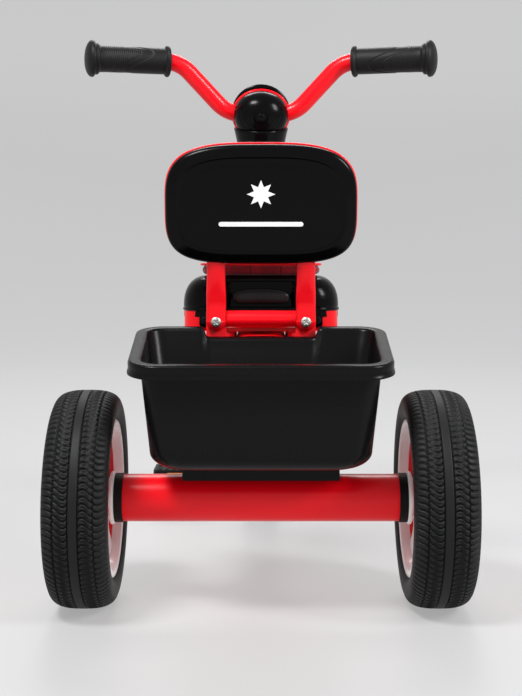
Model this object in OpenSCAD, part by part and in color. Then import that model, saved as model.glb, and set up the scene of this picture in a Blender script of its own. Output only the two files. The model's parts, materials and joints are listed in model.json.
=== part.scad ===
// Children's tricycle: steel frame, raked fork, direct-drive front wheel with cranks,
// two rear wheels on a fixed axle rod, box seat with backrest, and a rear basket.
// +X is the rider's right, +Y is forward, +Z is up. The origin is on the floor,
// under the middle of the overall length.

/* [Wheels] */
// Distance between the front and rear axles
wheelbase = 470; // [450:5:520]
// Distance between the middles of the two rear tyres
rear_track = 356; // [350:2:430]
// Radius of a rear tyre
rear_tyre_r = 110; // [100:1:120]
// Width of a rear tyre
rear_tyre_w = 64; // [54:1:68]
// Radius of the front tyre
front_tyre_r = 135; // [125:1:145]
// Width of the front tyre
front_tyre_w = 50; // [44:1:54]
// Radial height of a tyre, from the bead to the crown
tyre_h = 34; // [28:1:38]
// Radius of the inner flange of a rear hub
hub_r = 27; // [22:1:30]
// Length of a rear hub
hub_l = 40; // [34:1:44]

/* [Rear axle] */
// Outer diameter of the rear axle tube
axle_tube_d = 48; // [42:1:54]
// Wall of the rear axle tube
axle_tube_wall = 1.5; // [1.2:0.1:3]
// Diameter of the rear axle rod
rod_d = 10; // [8:1:12]
// Visible length of the spacer between the axle tube and a hub
spacer_l = 9; // [6:0.5:14]

/* [Frame] */
// Width of the flat-oval main tube
main_w = 60; // [50:1:64]
// Height of the flat-oval main tube
main_h = 32; // [26:1:34]
// Height of the middle of the main tube over the rear axle
main_rise = 146; // [142:1:156]
// Wall of the main tube and of the handlebar
tube_wall = 1.5; // [1.2:0.1:2.5]
// Length of the head tube
head_l = 100; // [90:5:110]
// Outer diameter of the head tube
head_d = 36; // [34:1:40]
// Distance of each backrest post from the middle plane
post_x = 48.5; // [46:0.5:56]
// Width of the posts and of the backrest arms
post_w = 22; // [18:1:24]
// Front-to-back thickness of the posts and arms
post_t = 10; // [8:1:10]
// Height of the crossbar over the middle of the main tube
crossbar_rise = 33; // [28:1:36]
// Diameter of the crossbar
crossbar_d = 19; // [16:1:22]

/* [Steering] */
// Rake of the steering axis from the vertical
rake = 14; // [12:0.5:16]
// Diameter of the steerer tube
steerer_d = 25.4; // [22:0.2:27]
// Diameter of the fork tube
fork_d = 22; // [19:1:24]
// Free width between the fork legs
fork_gap = 66; // [62:1:76]
// Height of the middle of the handlebar
bar_z = 545; // [520:5:600]
// Diameter of the handlebar tube
bar_d = 22; // [19:1:25]
// Half length of the flat middle of the handlebar
bar_flat = 44; // [42:1:54]
// Rise of the handlebar, along the steering axis, from its middle to its grips
bar_rise = 68; // [50:1:85]
// Half width of the handlebar, over its grips
bar_half_w = 233; // [225:1:260]
// Length of a grip
grip_l = 110; // [90:1:112]
// Backward sweep of the grips
grip_sweep = 15; // [5:1:20]
// Radius of the round sound pod on the handlebar
pod_r = 38.5; // [37:0.5:41]

/* [Pedals] */
// Crank radius
crank_r = 82; // [70:1:86]
// Diameter of the one-piece crank rod
crank_d = 12; // [10:0.5:13]
// Turn of the cranks from the steering axis at rest
crank_turn = 18; // [0:1:40]
// Length of a pedal
pedal_l = 76; // [60:1:80]

/* [Seat and backrest] */
// Length of the seat
seat_l = 200; // [180:1:204]
// Width of the seat at its rear
seat_w = 176; // [150:1:190]
// Height of the seat shell
seat_h = 39; // [33:1:45]
// Thickness of the seat cushion
cushion_t = 15; // [8:0.5:20]
// Width of the backrest
back_w = 206; // [170:1:230]
// Height of the backrest
back_h = 128; // [105:1:150]
// Lean of the backrest from the vertical
back_lean = 10; // [4:1:12]

/* [Basket] */
// Width of the basket over the front of its rim
basket_w = 268; // [240:1:272]
// Depth of the basket at its lower, rear edge
basket_depth = 103; // [96:1:107]
// Slope of the rim, which rises towards the seat
basket_tilt = 9; // [6:0.5:10]
// Height of the underside of the basket over the rear axle tube
basket_lift = 15; // [12:1:22]
// Width of the flat flange round the rim
flange_w = 11; // [8:0.5:14]
// Height of the skirt that hangs from the flange
skirt_h = 14; // [8:1:18]
// Wall of the plastic shells
wall = 2.5; // [2:0.1:3]

/* [Hidden] */
$fn = 72;

left = -1;
right = 1;
side_play = 0.3;  // gap between a turning piece and the fixed piece beside it
fit_gap = 0.05;   // radial gap between pieces that are pushed together
run_gap = 0.06;   // radial clearance of a running fit
cut = 1;          // how far a cutting shape runs past the face that it cuts

// Places along the bicycle line
overall_l = rear_tyre_r + wheelbase + front_tyre_r;
rear_y = rear_tyre_r - overall_l / 2;
front_y = rear_y + wheelbase;
rear_z = rear_tyre_r;
main_z = rear_z + main_rise;
post_y = rear_y + 80;          // middle of the upright part of a post
arm_y = post_y - post_t;       // middle of the upright foot of a backrest arm
seat_y = rear_y + 92;          // rear face of the seat
seat_nose_y = seat_y + seat_l;

// Rear axle stack, measured outwards from the middle plane
tyre_inner_x = (rear_track - rear_tyre_w) / 2;
axle_tube_half = tyre_inner_x - 5.5;
spacer_out = axle_tube_half + spacer_l;
bush_flange_t = 2;
bush_flange_r = rod_d / 2 + 8;
bush_r = rod_d / 2 + 4;
hub_in = spacer_out + side_play + bush_flange_t;
hub_out = hub_in + hub_l;
bush_out = hub_out + bush_flange_t;
washer_in = bush_out + side_play;
washer_t = 1.5;
nut_in = washer_in + washer_t;
nut_t = 7.5;
rod_half = nut_in + nut_t + 1.5;
cap_r = rod_d / 2 + 11;

// Steering stack, measured up the steering axis from the front axle
fender_r = front_tyre_r + 12;
fork_leg_x = (fork_gap + fork_d) / 2;
fork_top_s = front_tyre_r;                     // where the straight legs meet the bend
fork_crown_s = fork_top_s + fork_leg_x + fork_d / 2;
cup_t = 8;
head_s = fork_crown_s + 1 + cup_t;
lock_s = head_s + head_l + cup_t + side_play;
lock_t = 10;
bar_s = (bar_z - front_tyre_r) / cos(rake);
clamp_r = bar_d / 2 + 5;
neck_s = lock_s + lock_t + 4;
neck_top_s = bar_s - 22;

// Front wheel
front_hub_half = fork_gap / 2 - 4;
crank_x = fork_gap / 2 + fork_d + 7;           // middle plane of a crank arm
pedal_in = crank_x + crank_d / 2 + 4;
dropout_r = 16;

// Seat and backrest
bracket_t = 3;
tray_z = main_z + main_h / 2 + bracket_t;
tray_h = 22;
shell_z = tray_z + tray_h;
seat_top_z = shell_z + seat_h;
hand_hold = [74, 10, 31];      // pocket in the rear face of the seat shell
bolt_r = 3;
screw_r = 2;
crossbar_z = main_z + crossbar_rise;
arm_bolt_z = crossbar_z - 2.5;
arm_knee_z = crossbar_z + 16;  // where a backrest arm starts to lean
back_foot = 46;                // from the knee of the arms up to the foot of the backrest

// Basket
basket_floor_z = rear_z + axle_tube_d / 2 + basket_lift;
basket_rim_z = basket_floor_z + basket_depth;
rim_l = 178;                   // front-to-back length of the rim
saddle_half_w = 80;
basket_screw_x = 56;
screw_head_t = 1.5;

// Sound pod
pod_cap_r = pod_r - 2.7;
pod_cap_depth = 32;
pod_seam = 4;                  // from the middle of the bar back to the seam of the cap
button_r = 5;
button_travel = 1.5;

steel_red = "crimson";
glossy_black = "#18181a";
matte_black = "#2b2b2d";
zinc = "silver";

// ---------- shared shapes ----------

module steer_frame() {
  translate([0, front_y, front_tyre_r]) rotate([rake, 0, 0]) children();
}

module back_frame() {
  translate([0, arm_y, arm_knee_z]) rotate([back_lean, 0, 0]) children();
}

module rim_frame() {
  translate([0, rear_y - 106, basket_rim_z]) rotate([basket_tilt, 0, 0]) children();
}

// Local +Z points outwards, away from the middle plane, from the given wheel middle
module outward(side, pos) {
  translate(pos) rotate([0, side * 90, 0]) children();
}

module ring(r_out, r_in, h) {
  difference() {
    cylinder(h = h, r = r_out);
    translate([0, 0, -cut]) cylinder(h = h + 2 * cut, r = r_in);
  }
}

// Section with round ends, w wide along X and t thick along Y
module stadium(w, t) {
  square([w - t, t], center = true);
  for (s = [left, right]) translate([s * (w - t) / 2, 0]) circle(d = t);
}

module rod_between(a, b, d) {
  v = b - a;
  translate(a)
    rotate([0, acos(v.z / norm(v)), atan2(v.y, v.x)])
      cylinder(h = norm(v), d = d);
}

// Round rod through the points; each corner has a ball a little over the rod's size
module bent_rod(points, d) {
  for (i = [0 : len(points) - 2]) rod_between(points[i], points[i + 1], d);
  for (i = [1 : len(points) - 2]) translate(points[i]) sphere(d = d * 1.02);
}

// Flat bar of thickness t whose middle line runs through three [y, z] points
function unit(v) = v / norm(v);
function normal(v) = [-v.y, v.x];
function corner(path, k) =
  let (a = unit(path[1] - path[0]), b = unit(path[2] - path[1]), m = unit(a + b))
  path[1] + normal(m) * k / (normal(m) * normal(a));
function bar_outline(path, k) = [
  path[0] + normal(unit(path[1] - path[0])) * k,
  corner(path, k),
  path[2] + normal(unit(path[2] - path[1])) * k,
  path[2] - normal(unit(path[2] - path[1])) * k,
  corner(path, -k),
  path[0] - normal(unit(path[1] - path[0])) * k
];

module bent_bar(path, w, t) {
  rotate([90, 0, 90])
    translate([0, 0, -w / 2])
      linear_extrude(w) polygon(bar_outline(path, t / 2));
}

// ---------- rear axle and frame ----------

module axle_x(h_half) {
  translate([-h_half, rear_y, rear_z]) rotate([0, 90, 0]) children();
}

module rear_axle_tube() {
  color(steel_red) axle_x(axle_tube_half)
    ring(axle_tube_d / 2, axle_tube_d / 2 - axle_tube_wall, 2 * axle_tube_half);
}

module axle_spacers() {
  spigot_l = 20;
  spigot_r = axle_tube_d / 2 - axle_tube_wall - fit_gap;
  color(matte_black) for (side = [left, right])
    outward(side, [side * axle_tube_half, rear_y, rear_z]) difference() {
      union() {
        cylinder(h = spacer_l, r = axle_tube_d / 2 + 1);
        translate([0, 0, -spigot_l]) cylinder(h = spigot_l, r = spigot_r);
      }
      translate([0, 0, -spigot_l - cut])
        cylinder(h = spigot_l + spacer_l + 2 * cut, r = rod_d / 2 + fit_gap);
    }
}

module rear_axle_rod() {
  color(zinc) axle_x(rod_half) cylinder(h = 2 * rod_half, d = rod_d);
}

module axle_washers() {
  color(zinc) for (side = [left, right])
    outward(side, [side * washer_in, rear_y, rear_z])
      ring(rod_d / 2 + 4, rod_d / 2 + fit_gap, washer_t);
}

module axle_nuts() {
  nut_corner_r = rod_d * 0.98;
  color(zinc) for (side = [left, right])
    outward(side, [side * nut_in, rear_y, rear_z]) difference() {
      cylinder(h = nut_t, r = nut_corner_r, $fn = 6);
      translate([0, 0, -cut]) cylinder(h = nut_t + 2 * cut, r = rod_d / 2 + fit_gap);
    }
}

// The main tube bends up at the nose of the seat and runs straight to the head tube.
// bend_to is its target on the steering axis, seen from the centre of the bend
bend_r = 60;
weld_s = head_s + 0.4 * head_l;
bend_to = [front_y - weld_s * sin(rake) - seat_nose_y, front_tyre_r + weld_s * cos(rake) - main_z - bend_r];
rise_l = sqrt(bend_to * bend_to - bend_r * bend_r);
bend = atan2(bend_to.y, bend_to.x) + atan2(bend_r, rise_l);

module main_line(w, t) {
  translate([0, post_y, main_z]) rotate([-90, 0, 0])
    linear_extrude(seat_nose_y - post_y) stadium(w, t);
  translate([0, seat_nose_y, main_z + bend_r]) rotate([0, 90, 0])
    rotate_extrude(angle = bend) translate([bend_r, 0]) rotate(90) stadium(w, t);
  translate([0, seat_nose_y + bend_r * sin(bend), main_z + bend_r * (1 - cos(bend))])
    rotate([bend - 90, 0, 0]) linear_extrude(rise_l + main_h) stadium(w, t);
}

module main_tube() {
  color(steel_red) difference() {
    main_line(main_w, main_h);
    main_line(main_w - 2 * tube_wall, main_h - 2 * tube_wall);
    translate([-main_w, post_y, main_z]) rotate([0, 90, 0]) cylinder(h = 2 * main_w, d = post_w);
    steer_frame() cylinder(h = 2 * head_s + head_l, d = head_d);
    steer_frame() translate([-main_w, 0, 0]) cube([2 * main_w, main_w, 2 * head_s + head_l]);
  }
}

module cross_bar(z, d) {
  half = post_x - post_w / 2;
  translate([-half, post_y, z]) rotate([0, 90, 0]) cylinder(h = 2 * half, d = d);
}

module bridge_tube() {
  color(steel_red) cross_bar(main_z, post_w);
}

module crossbar() {
  color(steel_red) cross_bar(crossbar_z, crossbar_d);
}

module post(side) {
  path = [[rear_y + 18, rear_z], [post_y, main_z + 6], [post_y, crossbar_z + 9]];
  color(steel_red) difference() {
    translate([side * post_x, 0, 0]) bent_bar(path, post_w, post_t);
    axle_x(axle_tube_half) cylinder(h = 2 * axle_tube_half, d = axle_tube_d);
    bolt_line(side) cylinder(h = 6 * post_t, r = bolt_r + fit_gap);
  }
}

module head_tube() {
  color(steel_red) steer_frame() translate([0, 0, head_s]) ring(head_d / 2, head_d / 2 - 2, head_l);
}

module head_cups() {
  spigot_l = 12;
  color(zinc) steer_frame() for (flip = [0, 1])
    translate([0, 0, flip ? head_s + head_l : head_s]) mirror([0, 0, 1 - flip]) difference() {
      union() {
        cylinder(h = cup_t, r = head_d / 2 + 2);
        translate([0, 0, -spigot_l]) cylinder(h = spigot_l, r = head_d / 2 - 2 - fit_gap);
      }
      translate([0, 0, -spigot_l - cut])
        cylinder(h = spigot_l + cup_t + 2 * cut, r = steerer_d / 2 + run_gap);
    }
}

// ---------- seat ----------

// Plan of the seat, drawn in by inset all round; the nose is narrower than the rear
module seat_plan(inset) {
  corner_r = 30;
  nose_w = seat_w * 0.62;
  translate([0, seat_y]) offset(r = corner_r - inset, $fn = 32) polygon([
    [-seat_w / 2 + corner_r, corner_r],
    [seat_w / 2 - corner_r, corner_r],
    [nose_w / 2 - corner_r, seat_l - corner_r],
    [-nose_w / 2 + corner_r, seat_l - corner_r]
  ]);
}

module seat_slab(z, h, inset) {
  translate([0, 0, z]) linear_extrude(h) seat_plan(inset);
}

bracket_w = main_w + 36;
bracket_from = 0.2;  // the bracket runs over these shares of the seat's length
bracket_to = 0.9;

module bracket_bolts() {
  for (x = [left, right], y = [0.32, 0.8])
    translate([x * (bracket_w / 2 - 9), seat_y + y * seat_l, 0]) children();
}

module seat_bracket() {
  flange_h = 18;
  flange_x = main_w / 2 + fit_gap;
  bracket_l = (bracket_to - bracket_from) * seat_l;
  color(steel_red) difference() {
    translate([0, seat_y + bracket_from * seat_l, tray_z - bracket_t]) {
      translate([-bracket_w / 2, 0, 0]) cube([bracket_w, bracket_l, bracket_t]);
      for (x = [-flange_x - bracket_t, flange_x])
        translate([x, 0, -flange_h]) cube([bracket_t, bracket_l, flange_h + bracket_t]);
    }
    bracket_bolts() translate([0, 0, tray_z - 4 * bracket_t])
      cylinder(h = 8 * bracket_t, r = bolt_r + fit_gap);
  }
}

module seat_bolts() {
  bolt_l = 13;
  head_t = 3;
  color(zinc) bracket_bolts() translate([0, 0, tray_z - bracket_t]) {
    translate([0, 0, -head_t]) cylinder(h = head_t, r = 2 * bolt_r);
    translate([0, 0, -1]) cylinder(h = bolt_l, r = bolt_r);
  }
}

flange_half = 68;   // half width of the flange that the shell hangs over the tray's rear face
flange_t = 2;
flange_y = seat_y + 0.4;

// The two screws through the flange into the tray
module seat_screw_line() {
  for (side = [left, right])
    translate([side * (flange_half - 6), flange_y, tray_z + 12]) rotate([-90, 0, 0]) children();
}

module seat_base() {
  tray_inset = 2;
  tray_floor = 12;
  screw_l = 12;
  color(steel_red) difference() {
    seat_slab(tray_z, tray_h, tray_inset);
    seat_slab(tray_z + tray_floor, shell_z, tray_inset + 3);
    bracket_bolts() translate([0, 0, tray_z - cut]) cylinder(h = tray_floor, r = bolt_r + fit_gap);
    seat_screw_line() cylinder(h = screw_l, r = screw_r + fit_gap);
    translate([-flange_half - 1, seat_y - cut, tray_z + 5])
      cube([2 * flange_half + 2, flange_t + 0.6 + cut, tray_h]);
  }
}

module seat_shell() {
  edge_z = shell_z + 20;
  color(glossy_black) difference() {
    union() {
      hull() {
        seat_slab(shell_z, 14, 0);
        seat_slab(edge_z, 8, 3);
        seat_slab(seat_top_z - 2, 2, 12);
      }
      translate([-flange_half, flange_y, tray_z + 6])
        cube([2 * flange_half, flange_t, tray_h - 4]);
    }
    difference() {
      hull() {
        seat_slab(shell_z - cut, 14, wall);
        seat_slab(edge_z, 7, 3 + wall);
        seat_slab(seat_top_z - 2 - wall, 2, 12 + wall);
      }
      translate([-hand_hold.x / 2 - wall, seat_y - cut, shell_z - 2 * cut])
        cube([hand_hold.x + 2 * wall, hand_hold.y + wall + cut, seat_top_z]);
    }
    translate([-hand_hold.x / 2, seat_y - cut, shell_z + 2])
      cube([hand_hold.x, hand_hold.y + cut, hand_hold.z]);
    seat_screw_line() translate([0, 0, -cut]) cylinder(h = flange_t + 2 * cut, r = screw_r + fit_gap);
  }
}

// Round bar with a flat back that lies on the front wall of the hand hold
module seat_handle() {
  handle_r = 4.5;
  handle_l = hand_hold.x - 14;
  handle_y = hand_hold.y - fit_gap - handle_r;
  color(matte_black) translate([-handle_l / 2, seat_y + handle_y, shell_z + 15]) rotate([0, 90, 0]) {
    cylinder(h = handle_l, r = handle_r);
    translate([-handle_r, 0, 0]) cube([2 * handle_r, handle_r, handle_l]);
  }
}

module seat_cushion() {
  color("firebrick") hull() {
    seat_slab(seat_top_z, cushion_t * 0.6, 16);
    seat_slab(seat_top_z, cushion_t, 22);
  }
}

module seat_screws() {
  color(matte_black) seat_screw_line() translate([0, 0, -screw_head_t]) {
    cylinder(h = screw_head_t, r = 2 * screw_r);
    cylinder(h = 10, r = screw_r);
  }
}

// ---------- backrest ----------

module bolt_line(side) {
  translate([side * post_x, arm_y - 3.5 * post_t, arm_bolt_z]) rotate([-90, 0, 0]) children();
}

// Screws from the back of each arm into the board of the backrest
module back_screw_line() {
  for (side = [left, right], z = [0.3, 0.75])
    back_frame() translate([side * post_x, -post_t / 2, back_foot - 4 + z * back_h])
      rotate([-90, 0, 0]) children();
}

module arm(side) {
  arm_l = back_h + 20;
  lean = [-sin(back_lean), cos(back_lean)];
  knee = [arm_y, arm_knee_z];
  path = [[arm_y, crossbar_z - 12], knee, knee + lean * arm_l];
  color(steel_red) difference() {
    translate([side * post_x, 0, 0]) bent_bar(path, post_w - 1, post_t);
    bolt_line(side) cylinder(h = 6 * post_t, r = bolt_r + fit_gap);
    back_screw_line() translate([0, 0, -cut]) cylinder(h = 2 * post_t, r = screw_r + fit_gap);
  }
}

module arm_bolts() {
  head_t = 3.5;
  bolt_l = 2 * post_t + 6.5;
  color(zinc) for (side = [left, right])
    translate([side * post_x, arm_y - post_t / 2, arm_bolt_z]) rotate([-90, 0, 0]) {
      translate([0, 0, -head_t]) cylinder(h = head_t, r = bolt_r + 2.5);
      translate([0, 0, -1]) cylinder(h = bolt_l, r = bolt_r);
    }
}

module arm_nuts() {
  arm_nut_t = 5;
  color(zinc) for (side = [left, right])
    translate([side * post_x, post_y + post_t / 2, arm_bolt_z]) rotate([-90, 0, 0]) difference() {
      cylinder(h = arm_nut_t, r = bolt_r + 2.6, $fn = 6);
      translate([0, 0, -cut]) cylinder(h = arm_nut_t + 2 * cut, r = bolt_r + fit_gap);
    }
}

// A point of the backrest's outline, whose top is rounder than its foot
function back_point(a, inset) =
  let (power = 2 / (sin(a) > 0 ? 3.3 : 4))
  [(back_w / 2 - inset) * sign(cos(a)) * pow(abs(cos(a)), power),
   (back_h / 2 - inset) * sign(sin(a)) * pow(abs(sin(a)), power)];

// Face of the backrest in its own plane, drawn in by inset, t thick from y0
module back_slab(y0, t, inset) {
  translate([0, y0 + t, back_foot + back_h / 2]) rotate([90, 0, 0])
    linear_extrude(t) polygon([for (a = [0 : 5 : 355]) back_point(a, inset)]);
}

module backrest_shell() {
  back_y = -post_t / 2 - 7;
  depth = post_t + 10;
  arm_slot_h = 20;
  color(glossy_black) back_frame() difference() {
    back_slab(back_y, depth, 0.8);
    back_slab(back_y + wall, depth, 3.4);
    for (side = [left, right])
      translate([side * post_x, 0, back_foot])
        cube([post_w + 1, post_t + 2, arm_slot_h], center = true);
  }
}

module backrest_cushion() {
  cushion_y = post_t / 2 + 3.2;
  back_cushion_t = 16;
  color("firebrick") difference() {
    back_frame() back_slab(cushion_y, back_cushion_t, 0);
    back_screw_line() cylinder(h = 2 * post_t + 2, r = screw_r + fit_gap);
  }
}

module backrest_screws() {
  color(zinc) back_screw_line() {
    translate([0, 0, -2]) cylinder(h = 2, r = 2 * screw_r);
    translate([0, 0, -1]) cylinder(h = 2 * post_t, r = screw_r);
  }
}

// ---------- basket ----------

// Rim outline in its own plane, a little wider at the seat end
module rim_plan(inset) {
  corner_r = 30;
  rear_w = basket_w - 12;
  offset(r = corner_r - inset, $fn = 32) polygon([
    [-rear_w / 2 + corner_r, corner_r],
    [rear_w / 2 - corner_r, corner_r],
    [basket_w / 2 - corner_r, rim_l - corner_r],
    [-basket_w / 2 + corner_r, rim_l - corner_r]
  ]);
}

// Tapered tub from floor_z up to the height top in the rim's frame, drawn in by inset
module tub(inset, floor_z, top) {
  floor_w = basket_w - 54;
  floor_back = 84;
  floor_front = 22;
  corner_r = 26;
  hull() {
    rim_frame() translate([0, 0, top - 1]) linear_extrude(1) rim_plan(flange_w + inset);
    translate([0, rear_y - floor_back, floor_z]) linear_extrude(1)
      offset(r = corner_r - inset, $fn = 32)
        translate([-floor_w / 2 + corner_r, corner_r])
          square([floor_w - 2 * corner_r, floor_back + floor_front - 2 * corner_r]);
  }
}

// The two screws through the floor into the saddle, from the top of the floor
module basket_screw_line() {
  for (side = [left, right])
    translate([side * basket_screw_x, rear_y, basket_floor_z + wall]) children();
}

module basket_screw_holes() {
  basket_screw_line() translate([0, 0, -basket_floor_z])
    cylinder(h = basket_floor_z + cut, r = screw_r + fit_gap);
}

module basket() {
  notch_w = 126;
  color(matte_black) difference() {
    union() {
      tub(0, basket_floor_z, wall / 2);
      rim_frame() linear_extrude(wall) rim_plan(0);
      rim_frame() translate([0, 0, -skirt_h + wall]) linear_extrude(skirt_h - wall / 2) difference() {
        rim_plan(0);
        rim_plan(wall);
      }
    }
    tub(wall, basket_floor_z + wall, wall * 2);
    translate([-notch_w / 2, rear_y + 40, basket_rim_z + 16]) cube([notch_w, 60, 60]);
    basket_screw_holes();
    basket_screw_line() translate([0, 0, -screw_head_t - 0.1])
      cylinder(h = screw_head_t + cut, r = 2 * screw_r + fit_gap);
  }
}

module basket_saddle() {
  half_t = 14;
  saddle_h = basket_lift + axle_tube_d / 4;
  color(matte_black) difference() {
    translate([-saddle_half_w, rear_y - half_t, basket_floor_z - saddle_h])
      cube([2 * saddle_half_w, 2 * half_t, saddle_h]);
    axle_x(axle_tube_half) cylinder(h = 2 * axle_tube_half, d = axle_tube_d);
    basket_screw_holes();
  }
}

// Their heads lie just under the surface of the basket's floor
module basket_screws() {
  screw_l = 12;
  color(zinc) basket_screw_line() translate([0, 0, -screw_head_t - 0.1]) {
    cylinder(h = screw_head_t, r = 2 * screw_r);
    translate([0, 0, -screw_l]) cylinder(h = screw_l + 1, r = screw_r);
  }
}

// ---------- wheels ----------

// Tyre section: a rounded box, from the bead to the crown, as [radius, offset] points
function tyre_point(r_out, w, a) = [
  r_out - tyre_h / 2 + tyre_h / 2 * sign(sin(a)) * pow(abs(sin(a)), 0.72),
  w / 2 * sign(cos(a)) * pow(abs(cos(a)), 0.72)
];

module tyre(r_out, w) {
  rotate_extrude() polygon([for (a = [0 : 15 : 345]) tyre_point(r_out, w, a)]);
}

// Rim: barrel, two lips, a web with round windows, and a hub, all about local Z.
// hub_from and hub_to are measured from the wheel's middle plane
web_t = 4;

module rim(r_out, w, hub, hub_from, hub_to, bore, web_from, windows, window_r) {
  bead_r = r_out - tyre_h - 0.1;
  lip_u = 0.825 * w / 2;
  barrel_in = bead_r - 3.5;
  difference() {
    union() {
      rotate_extrude() polygon([
        [barrel_in, -lip_u - 2.4], [bead_r + 4, -lip_u - 2.4], [bead_r + 4, -lip_u],
        [bead_r, -lip_u + 2], [bead_r, lip_u - 2],
        [bead_r + 4, lip_u], [bead_r + 4, lip_u + 2.4], [barrel_in, lip_u + 2.4]
      ]);
      translate([0, 0, web_from]) cylinder(h = web_t, r = barrel_in + 1);
      translate([0, 0, hub_from]) cylinder(h = 5, r = hub);
      translate([0, 0, hub_from]) cylinder(h = hub_to - hub_from, r = hub * 0.7);
    }
    translate([0, 0, hub_from - cut]) cylinder(h = hub_to - hub_from + 2 * cut, r = bore);
    for (i = [0 : windows - 1]) rotate(i * 360 / windows)
      translate([(hub * 0.7 + barrel_in) / 2, 0, web_from - cut])
        cylinder(h = web_t + 2 * cut, r = window_r);
  }
}

face_u = rear_tyre_w / 2 - 12;     // inner face of a cover, from the wheel's middle plane

module rear_wheel_frame(side) {
  outward(side, [side * rear_track / 2, rear_y, rear_z]) children();
}

hub_from = hub_in - rear_track / 2;
hub_to = hub_out - rear_track / 2;
rear_web_u = hub_from + 6;         // the web sits behind the inner flange of the hub

module tyre_rear(side) {
  color(matte_black) rear_wheel_frame(side) tyre(rear_tyre_r, rear_tyre_w);
}

module rim_rear(side) {
  color("white") rear_wheel_frame(side)
    rim(rear_tyre_r, rear_tyre_w, hub_r, hub_from, hub_to, bush_r + fit_gap, rear_web_u, 6, 16);
}

// Outer cover with a deep skirt that lines the barrel of the rim as far as its web
module cover_rear(side) {
  skirt_r = rear_tyre_r - tyre_h - 5;
  skirt_u = rear_web_u + web_t + 0.5;
  skirt_t = 1.6;
  color(steel_red) rear_wheel_frame(side)
    rotate_extrude() polygon([
      [cap_r + 0.5, face_u + 1.5], [skirt_r - skirt_t, face_u], [skirt_r - skirt_t, skirt_u],
      [skirt_r, skirt_u], [skirt_r, face_u + 2], [skirt_r - 11, face_u + 5], [cap_r + 0.5, face_u + 6]
    ]);
}

module bushes_rear(side) {
  color(matte_black) rear_wheel_frame(side) for (end = [0, 1])
    translate([0, 0, end ? hub_to : hub_from]) mirror([0, 0, 1 - end]) difference() {
      union() {
        cylinder(h = bush_flange_t, r = bush_flange_r);
        translate([0, 0, -12]) cylinder(h = 12, r = bush_r);
      }
      translate([0, 0, -12 - cut])
        cylinder(h = 12 + bush_flange_t + 2 * cut, r = rod_d / 2 + run_gap);
    }
}

module cap_rear(side) {
  crown_u = rod_half - rear_track / 2 + 2;
  color(matte_black) rear_wheel_frame(side) rotate_extrude() polygon([
    [cap_r - 3, face_u - 1], [cap_r, face_u - 1], [cap_r, crown_u],
    [cap_r - 5, crown_u + 2.4], [0, crown_u + 2.4], [0, crown_u], [cap_r - 3, crown_u]
  ]);
}

module tyre_front() {
  color(matte_black) outward(right, [0, front_y, front_tyre_r]) tyre(front_tyre_r, front_tyre_w);
}

module rim_front() {
  color("white") outward(right, [0, front_y, front_tyre_r])
    rim(front_tyre_r, front_tyre_w, hub_r, -front_hub_half, front_hub_half, crank_d / 2 + fit_gap, -2, 6, 20);
}

// ---------- cranks and pedals ----------

// The cranks stay in the plane that holds the steering axis when they point straight up
crank_a = rake - crank_turn;
crank_dir = [0, -sin(crank_a), cos(crank_a)];
function crank_pin(side) = [side * crank_x, front_y, front_tyre_r] + side * crank_r * crank_dir;

module crank_axle() {
  pin_l = pedal_l - 10 + pedal_in - crank_x;
  color(zinc) bent_rod([
    crank_pin(left) - [pin_l, 0, 0], crank_pin(left), [-crank_x, front_y, front_tyre_r],
    [crank_x, front_y, front_tyre_r], crank_pin(right), crank_pin(right) + [pin_l, 0, 0]
  ], crank_d);
}

module pedal(side) {
  pedal_w = 56;
  pedal_t = 22;
  color(matte_black) outward(side, crank_pin(side) + [side * (pedal_in - crank_x), 0, 0]) difference() {
    linear_extrude(pedal_l) stadium(pedal_t + 1, pedal_t);
    translate([0, 0, -cut]) cylinder(h = pedal_l - 6 + cut, r = crank_d / 2 + run_gap);
  }
  color(matte_black) outward(side, crank_pin(side) + [side * (pedal_in - crank_x), 0, 0])
    for (edge = [left, right]) translate([-pedal_t / 2, edge * (pedal_w / 4 + 5.5) - pedal_w / 4 + 5.5, 0])
      cube([pedal_t, pedal_w / 2 - 11, pedal_l]);
}

// ---------- fork and steering ----------

module fork() {
  color(steel_red) steer_frame() difference() {
    union() {
      for (side = [left, right]) translate([side * fork_leg_x, 0, 0]) {
        cylinder(h = fork_top_s, d = fork_d);
        translate([-fork_d / 2, 0, 0]) rotate([0, 90, 0]) cylinder(h = fork_d, r = dropout_r);
      }
      translate([0, 0, fork_top_s]) rotate([90, 0, 0])
        rotate_extrude(angle = 180) translate([fork_leg_x, 0]) circle(d = fork_d);
    }
    translate([-fork_leg_x - fork_d, 0, 0]) rotate([0, 90, 0])
      cylinder(h = 2 * fork_leg_x + 2 * fork_d, r = crank_d / 2 + 3 + fit_gap);
    cylinder(h = fork_crown_s + cut, r = bolt_r + fit_gap);
    translate([0, 0, fork_crown_s - 6]) cylinder(h = 6 + cut, r = steerer_d / 2);
  }
}

module crank_bushes() {
  color(matte_black) steer_frame() for (side = [left, right])
    outward(side, [side * (fork_leg_x - fork_d / 2), 0, 0])
      ring(crank_d / 2 + 3, crank_d / 2 + run_gap, fork_d + 1);
}

module steerer_tube() {
  color(zinc) steer_frame() translate([0, 0, fork_crown_s - 6])
    ring(steerer_d / 2, steerer_d / 2 - 2, bar_s - clamp_r - fork_crown_s + 4);
}

module lock_nut() {
  color(zinc) steer_frame() translate([0, 0, lock_s]) difference() {
    cylinder(h = lock_t, r = steerer_d / 2 + 6, $fn = 6);
    translate([0, 0, -cut]) cylinder(h = lock_t + 2 * cut, r = steerer_d / 2 + fit_gap);
  }
}

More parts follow.
